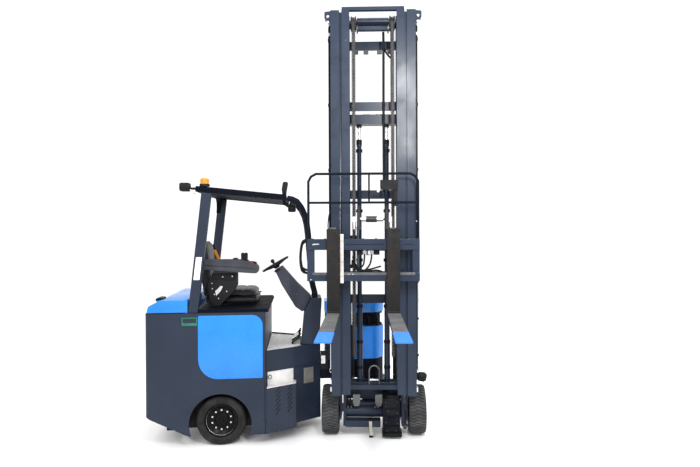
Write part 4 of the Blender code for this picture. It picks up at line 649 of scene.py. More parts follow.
def makeWheel(end, side):
    look = wheelLook[end]
    body = "%s_wheel_%s" % (end, side)
    outward = 1 if side == "left" else -1
    low, high = ownCorners("tyre_%s_%s" % (end, side), body)
    centre = (low + high) / 2
    along = (0, outward, 0)
    radius, half = look["radius"], look["width"] / 2
    rim = radius * wheelLook["rimShare"]
    crown = radius - (wheelLook["lugDepth"] if look["lugs"] else 0)
    rubber = "treadRubber" if look["lugs"] else "tyreRubber"
    tyre = Form("tyreSkin_%s_%s" % (end, side), rubber, body)
    wall = [(rim + 0.6, half - 12), (rim + 6, half - 6), (rim + 14, half - 4),
            (rim + 18, half - 0.4), (rim + 26, half - 0.4), (rim + 28, half - 3.5),
            (rim + 31, half - 1), (crown - 20, half - 2), (crown - 10, half - 6),
            (crown - 3, half - 14), (crown, half - 24)]
    ribs = []
    if not look["lugs"]:
        for groove in (30, 0, -30):
            ribs += [(crown, groove + 3.5), (crown - 6, groove + 2.5),
                     (crown - 6, groove - 2.5), (crown, groove - 3.5)]
    tyre.spin(wall + ribs + [(r, -d) for r, d in reversed(wall)], centre, along, 96)
    for index in range(look["lugs"]):
        middle = 2 * pi * index / look["lugs"]
        halfAngle = pi / look["lugs"] * wheelLook["lugShare"]
        rings = []
        for step in range(11):
            share = step / 5 - 1
            wave = wheelLook["lugWave"] / radius * cos(share * pi * 1.5)
            fall = max(0.0, abs(share) - wheelLook["shoulderFrom"]) / (1 - wheelLook["shoulderFrom"])
            drop = wheelLook["shoulderDrop"] * fall
            top, foot = radius - drop, crown - 4 - drop
            for reach, spreadShare in ((foot, 1.15), (top, 0.8)):
                for sign in (-1, 1):
                    angle = middle + wave + sign * halfAngle * spreadShare
                    rings.append(Vector(centre) + Vector((reach * cos(angle), share * (half - 3),
                                                          reach * sin(angle))))
        faces = [(0, 1, 3, 2), (40, 42, 43, 41)]
        for step in range(10):
            a, b = step * 4, step * 4 + 4
            faces += [(a, a + 2, b + 2, b), (a + 2, a + 3, b + 3, b + 2), (a + 3, a + 1, b + 1, b + 3),
                      (a + 1, a, b, b + 1)]
        tyre.faces(rings, faces)
    tyre.done(0, 40.0, replaces=["tyre_%s_%s" % (end, side)])
    dish = Form("rimSkin_%s_%s" % (end, side), "rimBlack", body)
    dish.spin([(0, half - 26), (20, half - 26), (24, half - 31), (50, half - 31),
               (56, half - 36), (60, half - 47), (98, half - 47), (105, half - 42),
               (rim - 17, half - 26), (rim - 13, half - 10), (rim - 9, half - 5),
               (rim - 3, half - 6.5), (rim, half - 10), (rim, -half + 10),
               (rim - 14, -half + 10), (rim - 20, half - 68), (60, half - 72),
               (56, half - 100), (wheelLook["axleRadius"], half - 100),
               (wheelLook["axleRadius"], half - 58), (0, half - 58)], centre, along, 72)
    for step in range(6):
        angle = 2 * pi * (step + 0.3) / 6
        dish.bolt(centre + Vector((38 * cos(angle), outward * (half - 31), 38 * sin(angle))), along,
                  4.5, 4, True)
    dish.done(0, 30.0, replaces=["rim_%s_%s" % (end, side)])
    bright = Form("wheelNuts_%s_%s" % (end, side), "boltSteel", body)
    for step in range(look["nuts"]):
        angle = 2 * pi * (step + 0.5) / look["nuts"]
        foot = centre + Vector((look["nutCircle"] * cos(angle), outward * (half - 47.5),
                                look["nutCircle"] * sin(angle)))
        bright.bolt(foot, along, 7.8, 12)
    ringRadius = rim - 14.5
    bright.spin([(ringRadius - 1.2, half - 17.5), (ringRadius + 1.2, half - 15),
                 (ringRadius + 3, half - 17.5), (ringRadius + 1.2, half - 20.5)], centre, along, 72)
    bright.done(0, 30.0, slot="bright_plate")


for end in ("rear", "front"):
    for side in ("left", "right"):
        makeWheel(end, side)
print("stage: wheels")


# Seat

seatLook = {  # metres, but for the deck and the piping, which are in millimetres
    "cushion": {"x": (-1.5, -1.1), "half": 0.238, "z": (1.264, 1.334)},
    "deck": {"low": 1163.5, "top": 1193, "front": -985, "rear": -1584, "half": 497, "nosing": 26},
    "back": {"foot": (-1.5445, 1.268), "head": (-1.612, 1.792), "half": 0.222, "thick": 0.08},
    "pressure": 3.5, "frames": 16, "cap": 0.008, "fill": 0.8,
    "piping": 4.5,
}


def softBlock(name, place, size, crown, grooves, edge=0.03):
    # A crowned cushion on its own centre: x along it, y across it, z the way that it swells
    long, wide, deep = size
    shape = bmesh.new()
    bmesh.ops.create_cube(shape, size=1.0)
    bmesh.ops.subdivide_edges(shape, edges=shape.edges, cuts=23, use_grid_fill=True)
    for vertex in shape.verts:
        u, v, w = vertex.co * 2
        pull = 1.0 - 0.03 * (1.0 - abs(w)) * (1.0 - abs(v)) if abs(u) > 0.99 else 1.0
        x, y = u * long / 2 * pull, v * wide / 2
        reach = max(abs(u), abs(v))
        roundness = (1.0 - max(0.0, (reach - 0.78) / 0.22) ** 2.2 * 0.46)
        z = w * deep / 2 * roundness
        if w > 0:
            z += crown * (1.0 - u * u) * (1.0 - v * v) * w
            for axis, at, depth, width in grooves:
                distance = (x if axis == "x" else y) - at
                z -= depth * exp(-(distance / width) ** 2) * w
        corner = max(0.0, abs(u) + abs(v) - 1.62) / 0.38
        x -= (1 if u > 0 else -1) * corner * edge * 0.8
        y -= (1 if v > 0 else -1) * corner * edge * 0.8
        vertex.co = (x, y, z)
    mesh = bpy.data.meshes.new(name)
    shape.to_mesh(mesh)
    shape.free()
    piece = bpy.data.objects.new(name, mesh)
    scene.collection.objects.link(piece)
    mesh.shade_smooth()
    puff(piece)
    mesh = piece.data
    mesh.transform(truckPlace @ place)
    scene.collection.objects.unlink(piece)
    return piece


def puff(piece):  # swells a closed form under pressure, each point held within a cap of where it was
    before = [vertex.co.copy() for vertex in piece.data.vertices]
    cloth = piece.modifiers.new("padding", "CLOTH")
    cloth.settings.use_pressure = True
    cloth.settings.uniform_pressure_force = seatLook["pressure"]
    cloth.settings.effector_weights.gravity = 0.0
    cloth.settings.tension_stiffness = cloth.settings.compression_stiffness = 40.0
    cloth.settings.bending_stiffness = 8.0
    for number in range(1, seatLook["frames"] + 1):
        scene.frame_set(number)
    evaluated = piece.evaluated_get(bpy.context.evaluated_depsgraph_get())
    after = [vertex.co.copy() for vertex in evaluated.data.vertices]
    piece.modifiers.remove(cloth)
    scene.frame_set(1)
    for vertex, start, end in zip(piece.data.vertices, before, after):
        move = end - start
        if move.length > seatLook["cap"]:
            move *= seatLook["cap"] / move.length
        vertex.co = start + move


def finishSoft(piece, node):
    mesh = piece.data
    settle(piece, "blackVinyl", "chassis")
    smooth = piece.modifiers.new("soft", "SUBSURF")
    smooth.levels = smooth.render_levels = 1
    mesh.shade_smooth()
    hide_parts(node)


def makeSeat():
    look = seatLook["cushion"]
    start, end = look["x"]
    foot, top = look["z"]
    middle = Vector(((start + end) / 2, 0.0, (foot + top) / 2 - 0.003))
    cushion = softBlock("seatCushion", Matrix.Translation(middle),
                        (end - start - 0.014, look["half"] * 2 - 0.014, top - foot - 0.016), 0.006,
                        [("x", -0.075, 0.007, 0.008), ("x", 0.06, 0.007, 0.008),
                         ("y", 0.15, 0.008, 0.009), ("y", -0.15, 0.008, 0.009)])
    finishSoft(cushion, "seat_cushion")
    look = seatLook["back"]
    lowPoint, highPoint = Vector(look["foot"]), Vector(look["head"])
    rise = highPoint - lowPoint
    middle = (lowPoint + highPoint) / 2
    turn = Matrix(((rise.x / rise.length, 0, rise.y / rise.length, 0), (0, -1, 0, 0),
                   (rise.y / rise.length, 0, -rise.x / rise.length, 0), (0, 0, 0, 1)))
    back = softBlock("seatBackrest", Matrix.Translation((middle.x, 0.0, middle.y)) @ turn,
                     (rise.length - 0.024, look["half"] * 2 - 0.014, look["thick"] - 0.012), 0.006,
                     [("x", -0.16, 0.008, 0.009), ("x", -0.055, 0.008, 0.009), ("x", 0.055, 0.008, 0.009),
                      ("y", 0.14, 0.009, 0.01), ("y", -0.14, 0.009, 0.01)])
    finishSoft(back, "seat_backrest")
    (Form("seatPad", "blackVinyl", "chassis")  # second layer, under the cushion
     .block((-1496, -228, 1208), (-1106, 228, 1261.5))
     .done(22))
    pan = Form("seatPan", "blackPlastic", "chassis")  # slides, and piping between the layers
    for y in (-170, 170):
        pan.block((-1496, y - 18, 1193.5), (-1130, y + 18, 1212))
    pan.block((-1470, -150, 1194.5), (-1150, 150, 1212))
    pan.hose([(-1485, -228, 1262), (-1130, -230, 1262), (-1108, -222, 1262),
              (-1104, -190, 1262), (-1104, 190, 1262), (-1108, 222, 1262),
              (-1130, 230, 1262), (-1485, 228, 1262)], seatLook["piping"], 8, 4)
    pan.done(replaces=["seat_suspension"])
    shell = Form("seatShell", "blackPlastic", "chassis")  # the backrest's rear shell and its hinge cheeks
    shell.slab([(-1585, 1275), (-1560, 1275), (-1635.2, 1772), (-1653, 1776), (-1654, 1740)],
               "Y", -205, 205)
    for y in (-246, 236):
        shell.slab([(-1560, 1222), (-1420, 1216), (-1400, 1240), (-1430, 1300), (-1510, 1380),
                    (-1552, 1372)], "Y", y, y + 10)
    shell.done(2)
    (Form("seatBelt", "orangeWebbing", "chassis")
     .slab([(-1573, 1690), (-1549, 1694), (-1505, 1592), (-1530, 1588)], "Y", 222, 226)
     .slab([(-1530, 1588), (-1505, 1592), (-1458, 1330), (-1484, 1322)], "Y", 222, 226)
     .done(0.6, slot="amber_lens"))
    (Form("beltReel", "blackPlastic", "chassis")
     .slab([(-1588, 1682), (-1543, 1690), (-1556, 1742), (-1600, 1735)], "Y", 214, 236)
     .slab([(-1500, 1235), (-1440, 1230), (-1446, 1330), (-1490, 1334)], "Y", 219, 238)
     .done(3))


def makeDeck():
    look = seatLook["deck"]
    low, top, front, rear = look["low"], look["top"], look["front"], look["rear"]
    deck = Form("seatDeck", "guardPaint", "chassis")
    bend = look["nosing"]
    nosing = [(front - bend + bend * sin(pi * step / 10), top - bend + bend * cos(pi * step / 10))
              for step in range(6)]
    deck.slab([(rear, low), (rear, top)] + nosing + [(front, low)], "Y", -look["half"], look["half"])
    deck.done(6, replaces=["seat_deck"])
    (Form("deckLip", "blackPlastic", "chassis")
     .block((rear + 4, -look["half"] - 1, low), (front - 30, -look["half"] + 4, low + 5))
     .twin()
     .done(1))


makeSeat()
makeDeck()
print("stage: seat and deck")


# Console on the armrest

consoleLook = {
    "boltPlaces": ((-1500, 1400), (-1496, 1352), (-1370, 1326), (-1478, 1300), (-1442, 1262),
                   (-1402, 1458), (-1318, 1462)),
    "leverPlaces": ((-1222, -330), (-1192, -330), (-1222, -290), (-1192, -290)),
}


def makeConsole():
    controls = Form("consoleControls", "blackPlastic", "chassis")
    for x, y in consoleLook["leverPlaces"]:
        controls.slab([(x - 12, 1600), (x + 10, 1600), (x + 13, 1652), (x + 10, 1672),
                       (x - 8, 1676), (x - 14, 1664)], "Y", y - 11, y + 11)
    controls.slab([(-1246, 1592), (-1166, 1588), (-1176, 1612), (-1236, 1616)], "Y", -348, -268)
    controls.slab([(-1312, 1606), (-1262, 1604), (-1266, 1622), (-1274, 1630), (-1306, 1628)],
                  "Y", -345, -285)
    controls.slab([(-1150, 1580), (-1100, 1566), (-1096, 1586), (-1112, 1594), (-1146, 1600)],
                  "Y", -340, -290)
    controls.slab([(-1585, 1534), (-1560, 1532), (-1556, 1618), (-1585, 1620)], "Y", -362, -253)
    controls.done(3)
    (Form("stopButton", "redPlastic", "chassis")
     .rod((-1152, -330, 1586), (-1150, -330, 1600), 16, 20, 14)
     .block((-1176, -358.5, 1577), (-1128, -350, 1592))
     .done(1))
    (Form("consoleTrim", "blackPlastic", "chassis")
     .hose([(-1560, -361.5, 1566), (-1300, -361.5, 1550), (-1110, -360.5, 1530)], 1.8, 6, 4)
     .slab([(-1500, 1486), (-1300, 1486), (-1296, 1440), (-1330, 1425), (-1440, 1440),
            (-1492, 1425)], "Y", -300.5, -290.5)
     .done(2))
    bolts = Form("armrestBolts", "boltSteel", "chassis")
    for x, z in consoleLook["boltPlaces"]:
        bolts.bolt((x, -300.8 if z > 1420 else -290.5, z), (0, -1, 0), 5.8, 5)
    bolts.slab([(-1470, 1330), (-1420, 1378), (-1400, 1372), (-1428, 1322), (-1462, 1288)],
               "Y", -304.5, -302.5)
    bolts.done(0.4)
    (Form("armrestCable", "hoseRubber", "chassis")
     .hose([(-1560, -275, 1378), (-1566, -300, 1330), (-1545, -300, 1262),
            (-1500, -290, 1216), (-1440, -270, 1203.5), (-1380, -250, 1203),
            (-1330, -215, 1203.5)], 5.5, 10, 6)
     .done(0))


makeConsole()
print("stage: console")


# Steering wheel and column

steeringLook = {"centre": (-0.946, 0.0, 1.55), "tilt": 30.0, "radius": 132, "tube": 11.2,
                "spokes": (91.7, 211.7, 331.7)}


def makeSteering():
    look = steeringLook
    tilt = radians(look["tilt"])
    local = Matrix(((cos(tilt), 0, -sin(tilt), 0), (0, 1, 0, 0),
                    (sin(tilt), 0, cos(tilt), 0), (0, 0, 0, 1)))
    place = truckPlace @ Matrix.Translation(look["centre"]) @ local
    wheel = Form("steeringWheelSkin", "blackPlastic", "steering", place)
    tube, radius = look["tube"], look["radius"]
    profile = [(radius + tube * cos(pi * step / 7), tube * 0.92 * sin(pi * step / 7)) for step in range(14)]
    wheel.spin(profile, (0, 0, 0), (0, 0, 1), 96)
    for angle in look["spokes"]:
        turn = radians(angle)
        reach = Vector((cos(turn), sin(turn), 0))
        wheel.sweep([reach * 20 + Vector((0, 0, -16)), reach * 70 + Vector((0, 0, -11)),
                     reach * (radius - 4)], [11, 9, 7.5], 12)
    wheel.spin([(0, 4), (20, 3), (34, -4), (39, -16), (32, -28),
                (22, -40), (0, -40)], (0, 0, 0), (0, 0, 1), 40)
    wheel.spin([(0, 60), (10, 59), (16, 52), (19, 40), (14, 26),
                (8, 18), (10, 2), (12, -12), (0, -12)], (0, -130, 0), (0, 0, 1), 24)
    wheel.done(0, 40.0, replaces=["steering_wheel"])
    (Form("columnTrim", "blackPlastic", "chassis")
     .slab([(-957, 1484), (-905, 1512), (-893, 1500), (-945, 1470)], "Y", -52, 52)
     .block((-800, -49.5, 1240), (-792, -48.2, 1246))
     .done())
    screws = Form("columnScrews", "darkSteel", "chassis")
    for x, z in ((-825, 1414), (-845, 1364), (-745, 1262), (-690, 1180)):
        screws.rod((x, -47.8, z), (x, -50.2, z), 5.5, 14, 4.5)
    screws.twin()
    screws.done(0)


makeSteering()
print("stage: steering")


# Body trim: signs left blank, locks, floor mat and pedals

bodyLook = {
    "sideSign": ((-1721, 1058), (-1591, 1128)),     # blank, where the photo has one
    "postSign": ((-1622.6, 1450), (-1572.6, 1450), (-1550.4, 1646), (-1600.4, 1646)),
    "matOutline": ((-1006, 385), (-770, 262), (-712, 215), (-712, -215), (-770, -262),
                   (-1006, -385)),
}


stepFront = {"start": (-1012, 502), "end": (-745, 362), "lockY": 379.875}  # the left box's outer wall


def makeBodyTrim():
    side = -502.5
    sign = Form("sideSign", "greenPlate", "chassis")
    (x0, z0), (x1, z1) = bodyLook["sideSign"]
    sign.block((x0, side - 1.6, z0), (x1, side, z1))
    sign.done(0.6)
    (Form("sideSignFace", "darkPaint", "chassis")
     .block((x0 + 8, side - 2, z0 + 22), (x1 - 8, side - 1, z1 - 8))
     .done(0.3))
    (Form("postSign", "whitePlate", "chassis")
     .slab(list(bodyLook["postSign"]), "Y", -491.8, -490.3)
     .done(0.4))
    (Form("floorMat", "floorMat", "chassis")
     .slab(list(bodyLook["matOutline"]), "Z", 802.3, 808.5)
     .done(1.5))
    (Form("matEdge", "blackPlastic", "chassis")
     .slab([(-1006, 384), (-768, 259), (-765, 269), (-1006, 394.5)], "Z", 802.3, 822)
     .done(1))
    pedals = Form("pedals", "blackPlastic", "chassis")
    lean = Matrix.Rotation(radians(-38.0), 3, "Y")
    for y in (-140, 10, 120):
        pedals.block((-800, y - 34, 842), (-700, y + 34, 852), lean)
        pedals.rod((-742, y, 850), (-705, y, 905), 8, 12)
        for row in range(4):
            offset = lean @ Vector((-36 + row * 24, 0, 8))
            middle = Vector((-750, y, 847)) + offset
            pedals.block(middle - Vector((4, 30, 3)), middle + Vector((4, 30, 3)), lean)
    pedals.done(1.5)
    bright = Form("bodyBolts", "boltSteel", "chassis")
    for z in (872, 888):
        bright.rod((-790, -176, z - 10), (-726, -170, z + 30), 6, 10)
    bright.done(0.4)
    (Form("bonnetGrip", "blackPlastic", "bonnet_lid")
     .slab([(-1962, 1262), (-1900, 1273.5), (-1900, 1288.5), (-1935, 1292.5), (-1962, 1284)],
           "Y", -412.5, -297.5)
     .done(4))
    tail = Form("tailFeet", "blackPlastic", "chassis")
    for y in (-430, 370):
        tail.block((-1870, y, 136), (-1780, y + 60, 196))
    tail.done(3)
    (Form("panelSeals", "blackPlastic", "chassis")  # dark joints round the deck and the lid
     .block((-1590, 497, 1156), (-1013, 500, 1164.5))
     .block((-2020, 493, 1158), (-1690, 496, 1170))
     .twin()
     .done(0.6))


def makeStepTrim():
    along = Vector(stepFront["end"]) - Vector(stepFront["start"])
    for side in (-1, 1):
        name = "left" if side > 0 else "right"
        outward = Vector((-along.y, side * along.x, 0)).normalized()
        lock = Form("stepLock_" + name, "boltSteel", "chassis")
        ring = Vector((-985, side * stepFront["lockY"], 566)) + outward * 7.5
        lock.rod(ring, ring + outward * 4.5, 13.5, 28)
        lock.done(0, slot="bright_plate")
        core = Form("stepLockCore_" + name, "blackPlastic", "chassis")
        core.spin([(13.5, 0), (20, 0), (20, 5), (13.5, 5.5)], ring, outward, 28)
        core.rod(ring + outward * 4.5, ring + outward * 6, 5, 16)
        core.done(0)


def makeWallPlate():  # bare grey plate on the well's front wall
    plate = Form("wallPlate_right", "greyPlate", "chassis")
    knee, nose = Vector((-770, -268)), Vector((-520, -118))
    wall = (nose - knee).normalized()
    out = Vector((wall.y, -wall.x))
    start = knee + wall * 105 + out * 0.5
    end = start + wall * 105
    corners = [start, end, end + out * 3, start + out * 3]
    plate.slab([(corner.x, corner.y) for corner in corners], "Z", 448, 592)
    plate.done(0.8)


ventLook = {"lowZ": 275, "pitch": 39, "slots": 6, "columns": (0.4, 0.78), "slant": -48.0}
archLook = {"x": -1400, "z": 194, "radius": 266.5, "foot": 104, "half": (288, 294)}


def makeVentShadows():  # painted shade: black blocks behind the slots in the step boxes stand in for the shade inside them
    (x0, y0), (x1, y1) = stepFront["start"], stepFront["end"]
    slotShade = Form("ventSlotShade", "blackPlastic", "chassis")
    along, half = Vector((x1 - x0, y1 - y0, 0)), Vector((33.8, 5, 4.8))
    facing = Matrix.Rotation(atan2(along.y, along.x), 3, "Z")
    turn = facing @ Matrix.Rotation(radians(ventLook["slant"]), 3, "Y")
    for column in ventLook["columns"]:
        for index in range(ventLook["slots"]):
            place = Vector((x0, y0, ventLook["lowZ"] + ventLook["pitch"] * index)) + along * column
            place += facing @ Vector((0, -6, 0))
            slotShade.block(place - half, place + half, turn)
    slotShade.twin()
    slotShade.done(0)


def makeArchLiners():
    look = archLook
    reach, x, z = look["radius"], look["x"], look["z"]
    arc = [(x + reach * cos(pi * step / 24), z + reach * sin(pi * step / 24)) for step in range(4, 21)]
    wing = reach + 90     # it runs on inside the body, so that no light comes past its ends
    liners = Form("archLiners", "blackPlastic", "chassis")
    low, high = look["half"]
    liners.slab([(x + wing, look["foot"]), (x + wing, arc[0][1])] + arc
                + [(x - wing, arc[-1][1]), (x - wing, look["foot"])], "Y", low, high)
    liners.twin()
    liners.done(1)


def makeWellLip():  # rolled edge where the upper well laps over the lower
    lip = Form("wellLip", "darkPaint", "chassis")
    for side in (-1, 1):
        lip.hose([(-769.5, side * 270, 618), (-645, side * 194.5, 618), (-520, side * 120.5, 618)], 5, 8, 2)
    lip.done(0)


def makeGripSleeves():
    sleeves = Form("gripSleeves", "blackPlastic", "chassis")
    for side in (-1, 1):
        sleeves.hose([(-652, side * 322.5, 1778), (-690, side * 310, 1745), (-705, side * 250, 1620),
                      (-690, side * 200, 1500), (-640, side * 192, 1474)], 12.2, 10, 3)
    sleeves.done(0)


makeBodyTrim()
makeStepTrim()
makeWallPlate()
makeVentShadows()
makeArchLiners()
makeWellLip()
makeGripSleeves()
print("stage: body trim")


# Lamps and beacon

def makeLamps():
    low, high = ownCorners("beacon", "chassis")
    centre = Vector(((low.x + high.x) / 2, (low.y + high.y) / 2, low.z))
    cap = Form("beaconLens", "amberLens", "chassis")
    cap.spin([(0, 74.2), (20, 73.5), (31, 69), (36, 60), (37.5, 30), (38.5, 22),
              (0, 22)], centre, (0, 0, 1), 48)
    for level in range(5):
        z = 28 + level * 6.5
        cap.spin([(37.2, z), (39, z + 1), (39, z + 2.8), (37.2, z + 3.8)], centre, (0, 0, 1), 48)
    cap.done(0, 40.0, replaces=["beacon"])
    (Form("beaconFoot", "blackPlastic", "chassis")
     .spin([(0, 22.5), (40, 22.5), (43, 18), (44, 0), (0, 0)], centre, (0, 0, 1), 48)
     .done())
    lens = Form("lampLenses", "paleLens", "chassis")
    low, high = ownCorners("rear_lamp", "chassis")
    lens.block(low + Vector((-1.5, 12, 12)), (low.x + 3, low.y + 68, high.z - 12))
    front = ownCorners("front_lamp_low", "chassis")[1]
    lens.block((front.x - 3, front.y - 66, 2052), (front.x + 1.5, front.y - 14, 2098))
    lens.done(1)
    (Form("rearLampBracket", "boltSteel", "chassis")
     .slab([(-1652, 2232), (-1612, 2222), (-1602, 2190), (-1612, 2176), (-1634, 2200)],
           "Y", -490.5, -486.5)
     .bolt((-1616, -490.5, 2198), (0, -1, 0), 6, 4)
     .done(0.8))
    (Form("frontLampCover", "blackPlastic", "chassis")
     .slab([(-868, 2228), (-822, 2222), (-810, 2292), (-818, 2300), (-846, 2302),
            (-856, 2294)], "Y", -481.5, -418.5)
     .slab([(-860, 2190), (-826, 2188), (-822, 2225), (-866, 2230)], "Y", -470, -430)
     .done(6))
    (Form("hangingLampRing", "blackPlastic", "chassis")
     .sweep([(-790, -385.5, 2110), (-758, -385.5, 2092), (-746, -385.5, 2056),
             (-772, -385.5, 2040), (-806, -385.5, 2060), (-808, -385.5, 2096),
             (-790, -385.5, 2110)], 4.2, 8)
     .done(0))


makeLamps()
print("stage: lamps")


# Mast: bolts, guides, hoses and chain

mastLook = {
    "earBolt": (586, 392, 3735),
    "clampHeights": (1177, 852, 620),
    "sleeves": ((27.5, 475.5, 852), (24.5, 852, 1177)),   # radius, low and high end
    "hoopX": 431.5,
    "barrel": (345, 125),     # x and y of each lift barrel
    "chain": {"x": 560, "y": 170, "low": 772, "high": 3690, "pitch": 31.8, "inset": 4.2},
}


def makeMastTrim():
    bolts = Form("mastBolts", "boltSteel", "mast_outer")
    x, y, z = mastLook["earBolt"]
    for side in (-1, 1):
        for drop in (0, 50):
            bolts.bolt((x, side * y, z - drop), (1, 0, 0), 7.5, 6, True)
        for height in (3574, 2203, 1240):
            for step in (0, 34):
                bolts.bolt((430, side * (318 + step), height), (-1, 0, 0), 9, 7, True)
        bolts.rod((360, side * 371, 510), (360, side * 376, 510), 19, 24)
    bolts.done(0)
    bands = Form("liftBands", "blackPlastic", "mast_outer")
    x, y = mastLook["barrel"]
    for z in mastLook["clampHeights"] + (1600, 2050, 2600):
        bands.spin([(21.4, -14), (30.5, -14), (30.5, 14), (21.4, 14)], (x, y, z), (0, 0, 1), 28)
    bands.spin([(21.4, 2655), (26.2, 2655), (26.2, 2698), (21.4, 2698.5)], (x, y, 0), (0, 0, 1), 28)
    bands.twin()
    bands.done(1)
    sleeves = Form("liftSleeves", "mastPaint", "mast_outer")  # the barrels' thicker lower tubes
    for radius, low, high in mastLook["sleeves"]:
        sleeves.spin([(21.4, low), (radius, low), (radius, high), (21.4, high)], (x, y, 0), (0, 0, 1), 32)
    sleeves.twin()
    sleeves.done(1.5)
    x = mastLook["hoopX"]
    hoop = Form("lockHoop", "darkSteel", "mast_middle")  # steel hoop on the foot tie
    arc = [(x, 4 + 46 * cos(pi - pi * step / 8), 607 + 46 * sin(pi * step / 8)) for step in range(9)]
    hoop.sweep([(x, -89, 468), (x, -52, 470), (x, -42, 484)] + arc
               + [(x, 50, 484), (x, 60, 470), (x, 109, 468)], 6.8, 10)
    hoop.done(0, slot="bright_plate")
    tabs = Form("hoopFeet", "boltSteel", "mast_middle")
    for y in (-74, 90):
        tabs.block((x - 6.8, y - 20, 460), (x + 7.5, y + 20, 476))
    tabs.rod((x, -34, 524), (x, 42, 524), 8.5, 12)
    tabs.done(1)
    brackets = Form("mastFootBrackets", "boltSteel", "mast_outer")
    for side in (-1, 1):
        brackets.slab([(side * 370.5, 446), (side * 370.5, 500), (side * 400, 500), (side * 384, 446)],
                      "X", 330, 352)
        brackets.bolt((352, side * 380, 484), (1, 0, 0), 6, 5)
    brackets.done()
    (Form("tagHolder", "blackPlastic", "mast_outer")
     .block((311, -490, 590), (319, -421.5, 760))
     .done(1))
    (Form("blankTag", "whitePlate", "mast_outer")
     .block((319, -484, 642), (321.5, -446, 716))
     .done(0.6))
    (Form("steerSensor", "blackPlastic", "mast_outer")
     .rod((470, 398, 570), (470, 446, 562), 40, 28, 43)
     .rod((470, 446, 562), (470, 466, 558), 43, 28, 30)
     .block((440, 370.5, 545), (500, 400, 600))
     .done(2))
    (Form("mastPipes", "chromeRod", "mast_outer")
     .hose([(556, 372, 1955), (556, 384, 1935), (556, 386, 1900), (556, 386, 740),
            (556, 384, 700), (540, 372, 680)], 6, 12, 3)
     .rod((545, -379.5, 900), (545, -379.5, 620), 6.2, 14)
     .done(0))
    clips = Form("pipeClips", "blackPlastic", "mast_outer")
    for z in (780, 1100, 1420, 1740):
        clips.block((546, 370.2, z - 8), (566, 393.5, z + 8))
    for z in (640, 880):
        clips.block((535, -387.2, z - 9), (555, -370.2, z + 9))
    clips.done(1)
    fittings = Form("hoseFittings", "boltSteel", "mast_outer")
    for y in (-385, 385):
        for x in (470, 498):
            fittings.rod((x, y, 3594), (x, y, 3622), 11.5, 6)
            fittings.rod((x, y, 612), (x, y, 645), 11.5, 6)
    for y in (-376.5, 376.5):
        fittings.block((520, y - 6, 462), (580, y + 6, 500))
    fittings.done(0.8)
    loops = Form("outerHoses", "hoseRubber", "mast_outer")
    for side in (-1, 1):
        for x, lift in ((470, 0), (498, 18)):
            loops.hose([(x, side * 385, 3618), (x, side * 386, 3650 + lift),
                        (x - 20, side * 374, 3682 + lift), (418, side * 352, 3690 + lift),
                        (384, side * 330, 3660 + lift), (376, side * 322, 3615)], 9.5, 10, 5)
            loops.hose([(x, side * 385, 618), (x, side * 384, 580), (x - 30, side * 376, 548),
                        (400, side * 350, 545), (362, side * 330, 570)], 9.5, 10, 5)
    loops.done(0)


def makeStageTrim():
    head = Form("sheaveFlanges", "sheaveSteel", "mast_inner")
    for y in (-189, -151, 151, 189):
        head.spin([(12, -4), (30, -6), (60, -6), (68, -2), (68, 3), (60, 6), (30, 6), (12, 4)],
                  (502, y, 3700), (0, 1, 0), 44)
    for y in (-136, 136):
        head.block((480, y - 6, 3620), (562, y + 6, 3668))
    for y in (-150, -60, 60, 150):
        head.block((440, y - 22, 3448), (462, y + 22, 3478))
    head.done(0.6)
    (Form("headTube", "framePaint", "mast_inner")
     .rod((500, -143, 3700), (500, 143, 3700), 38, 40)
     .done(0))
    bolts = Form("innerBolts", "darkSteel", "mast_inner").bolt((600, -236, 3520), (1, 0, 0), 4.5, 3)
    for y in (-136, 136):
        bolts.rod((560, y, 3640), (566, y, 3640), 9, 16)
    for y in (-150, 150):
        bolts.rod((433.5, y, 2982), (424, y, 2982), 12, 6)
    bolts.done(0)
    middle = Form("middleTrim", "sheaveSteel", "mast_middle")
    for y in (-125, 125):
        middle.spin([(15, 2812), (24, 2812), (26, 2829.5), (15, 2829.5)], (345, y, 0), (0, 0, 1), 28)
    for y in (-75, -40, 40, 75):
        middle.rod((350, y, 2915.5), (350, y, 2934), 10, 6)
    middle.done(0)
    (Form("innerHoses", "hoseRubber", "mast_inner")
     .hose([(455, 95, 3640), (462, 96, 3560), (462, 96, 3420), (462, 95, 3100),
            (462, 95, 2700), (462, 96, 2300), (458, 97, 2215)], 11.5, 10, 4)
     .hose([(452, 100, 3500), (450, 126, 3452), (452, 160, 3412), (455, 186, 3392)],
           8.5, 10, 5)
     .done(0))


def makeChainLinks(side):  # leaf chain over the solid's front run, its plates in turn
    look = mastLook["chain"]
    front, pitch, z = look["x"], look["pitch"] / 2, look["low"]
    links = Form("chainLinks_" + ("left" if side > 0 else "right"), "chainSteel", "mast_inner")
    index = 0
    while z < look["high"]:
        for y in (-15, -5, 5, 15):
            centre = side * look["y"] + y + (look["inset"] if index % 2 else 0) - 2
            links.slab([(front - 1.5, z - 9), (front + 4.2, z - 6), (front + 4.2, z + 6 + pitch * 0.4),
                        (front - 1.5, z + 9 + pitch * 0.4)], "Y", centre - 1.4, centre + 1.4)
        z += pitch
        index += 1
    links.done(0)


makeMastTrim()
makeStageTrim()
for side in (-1, 1):
    makeChainLinks(side)
print("stage: mast")


# Carriage, valve block and hoses

carriageLook = {
    "hoseLoops": (  # each from a fitting down and away, in the mast's frame
        ((690, -78, 1704), (694, -80, 1650), (694, -90, 1580), (690, -130, 1545),
         (684, -175, 1560), (676, -185, 1620)),
        ((690, -20, 1704), (694, -20, 1650), (694, -34, 1585), (690, -75, 1535),
         (686, -130, 1525), (680, -160, 1560)),
        ((684, -180, 1650), (688, -150, 1570), (690, -80, 1528), (690, 20, 1532),
         (686, 70, 1520)),
        ((680, -190, 1600), (686, -140, 1532), (688, -40, 1540), (686, 60, 1566)),
    ),
    "stripZ": (1427, 1842),
}


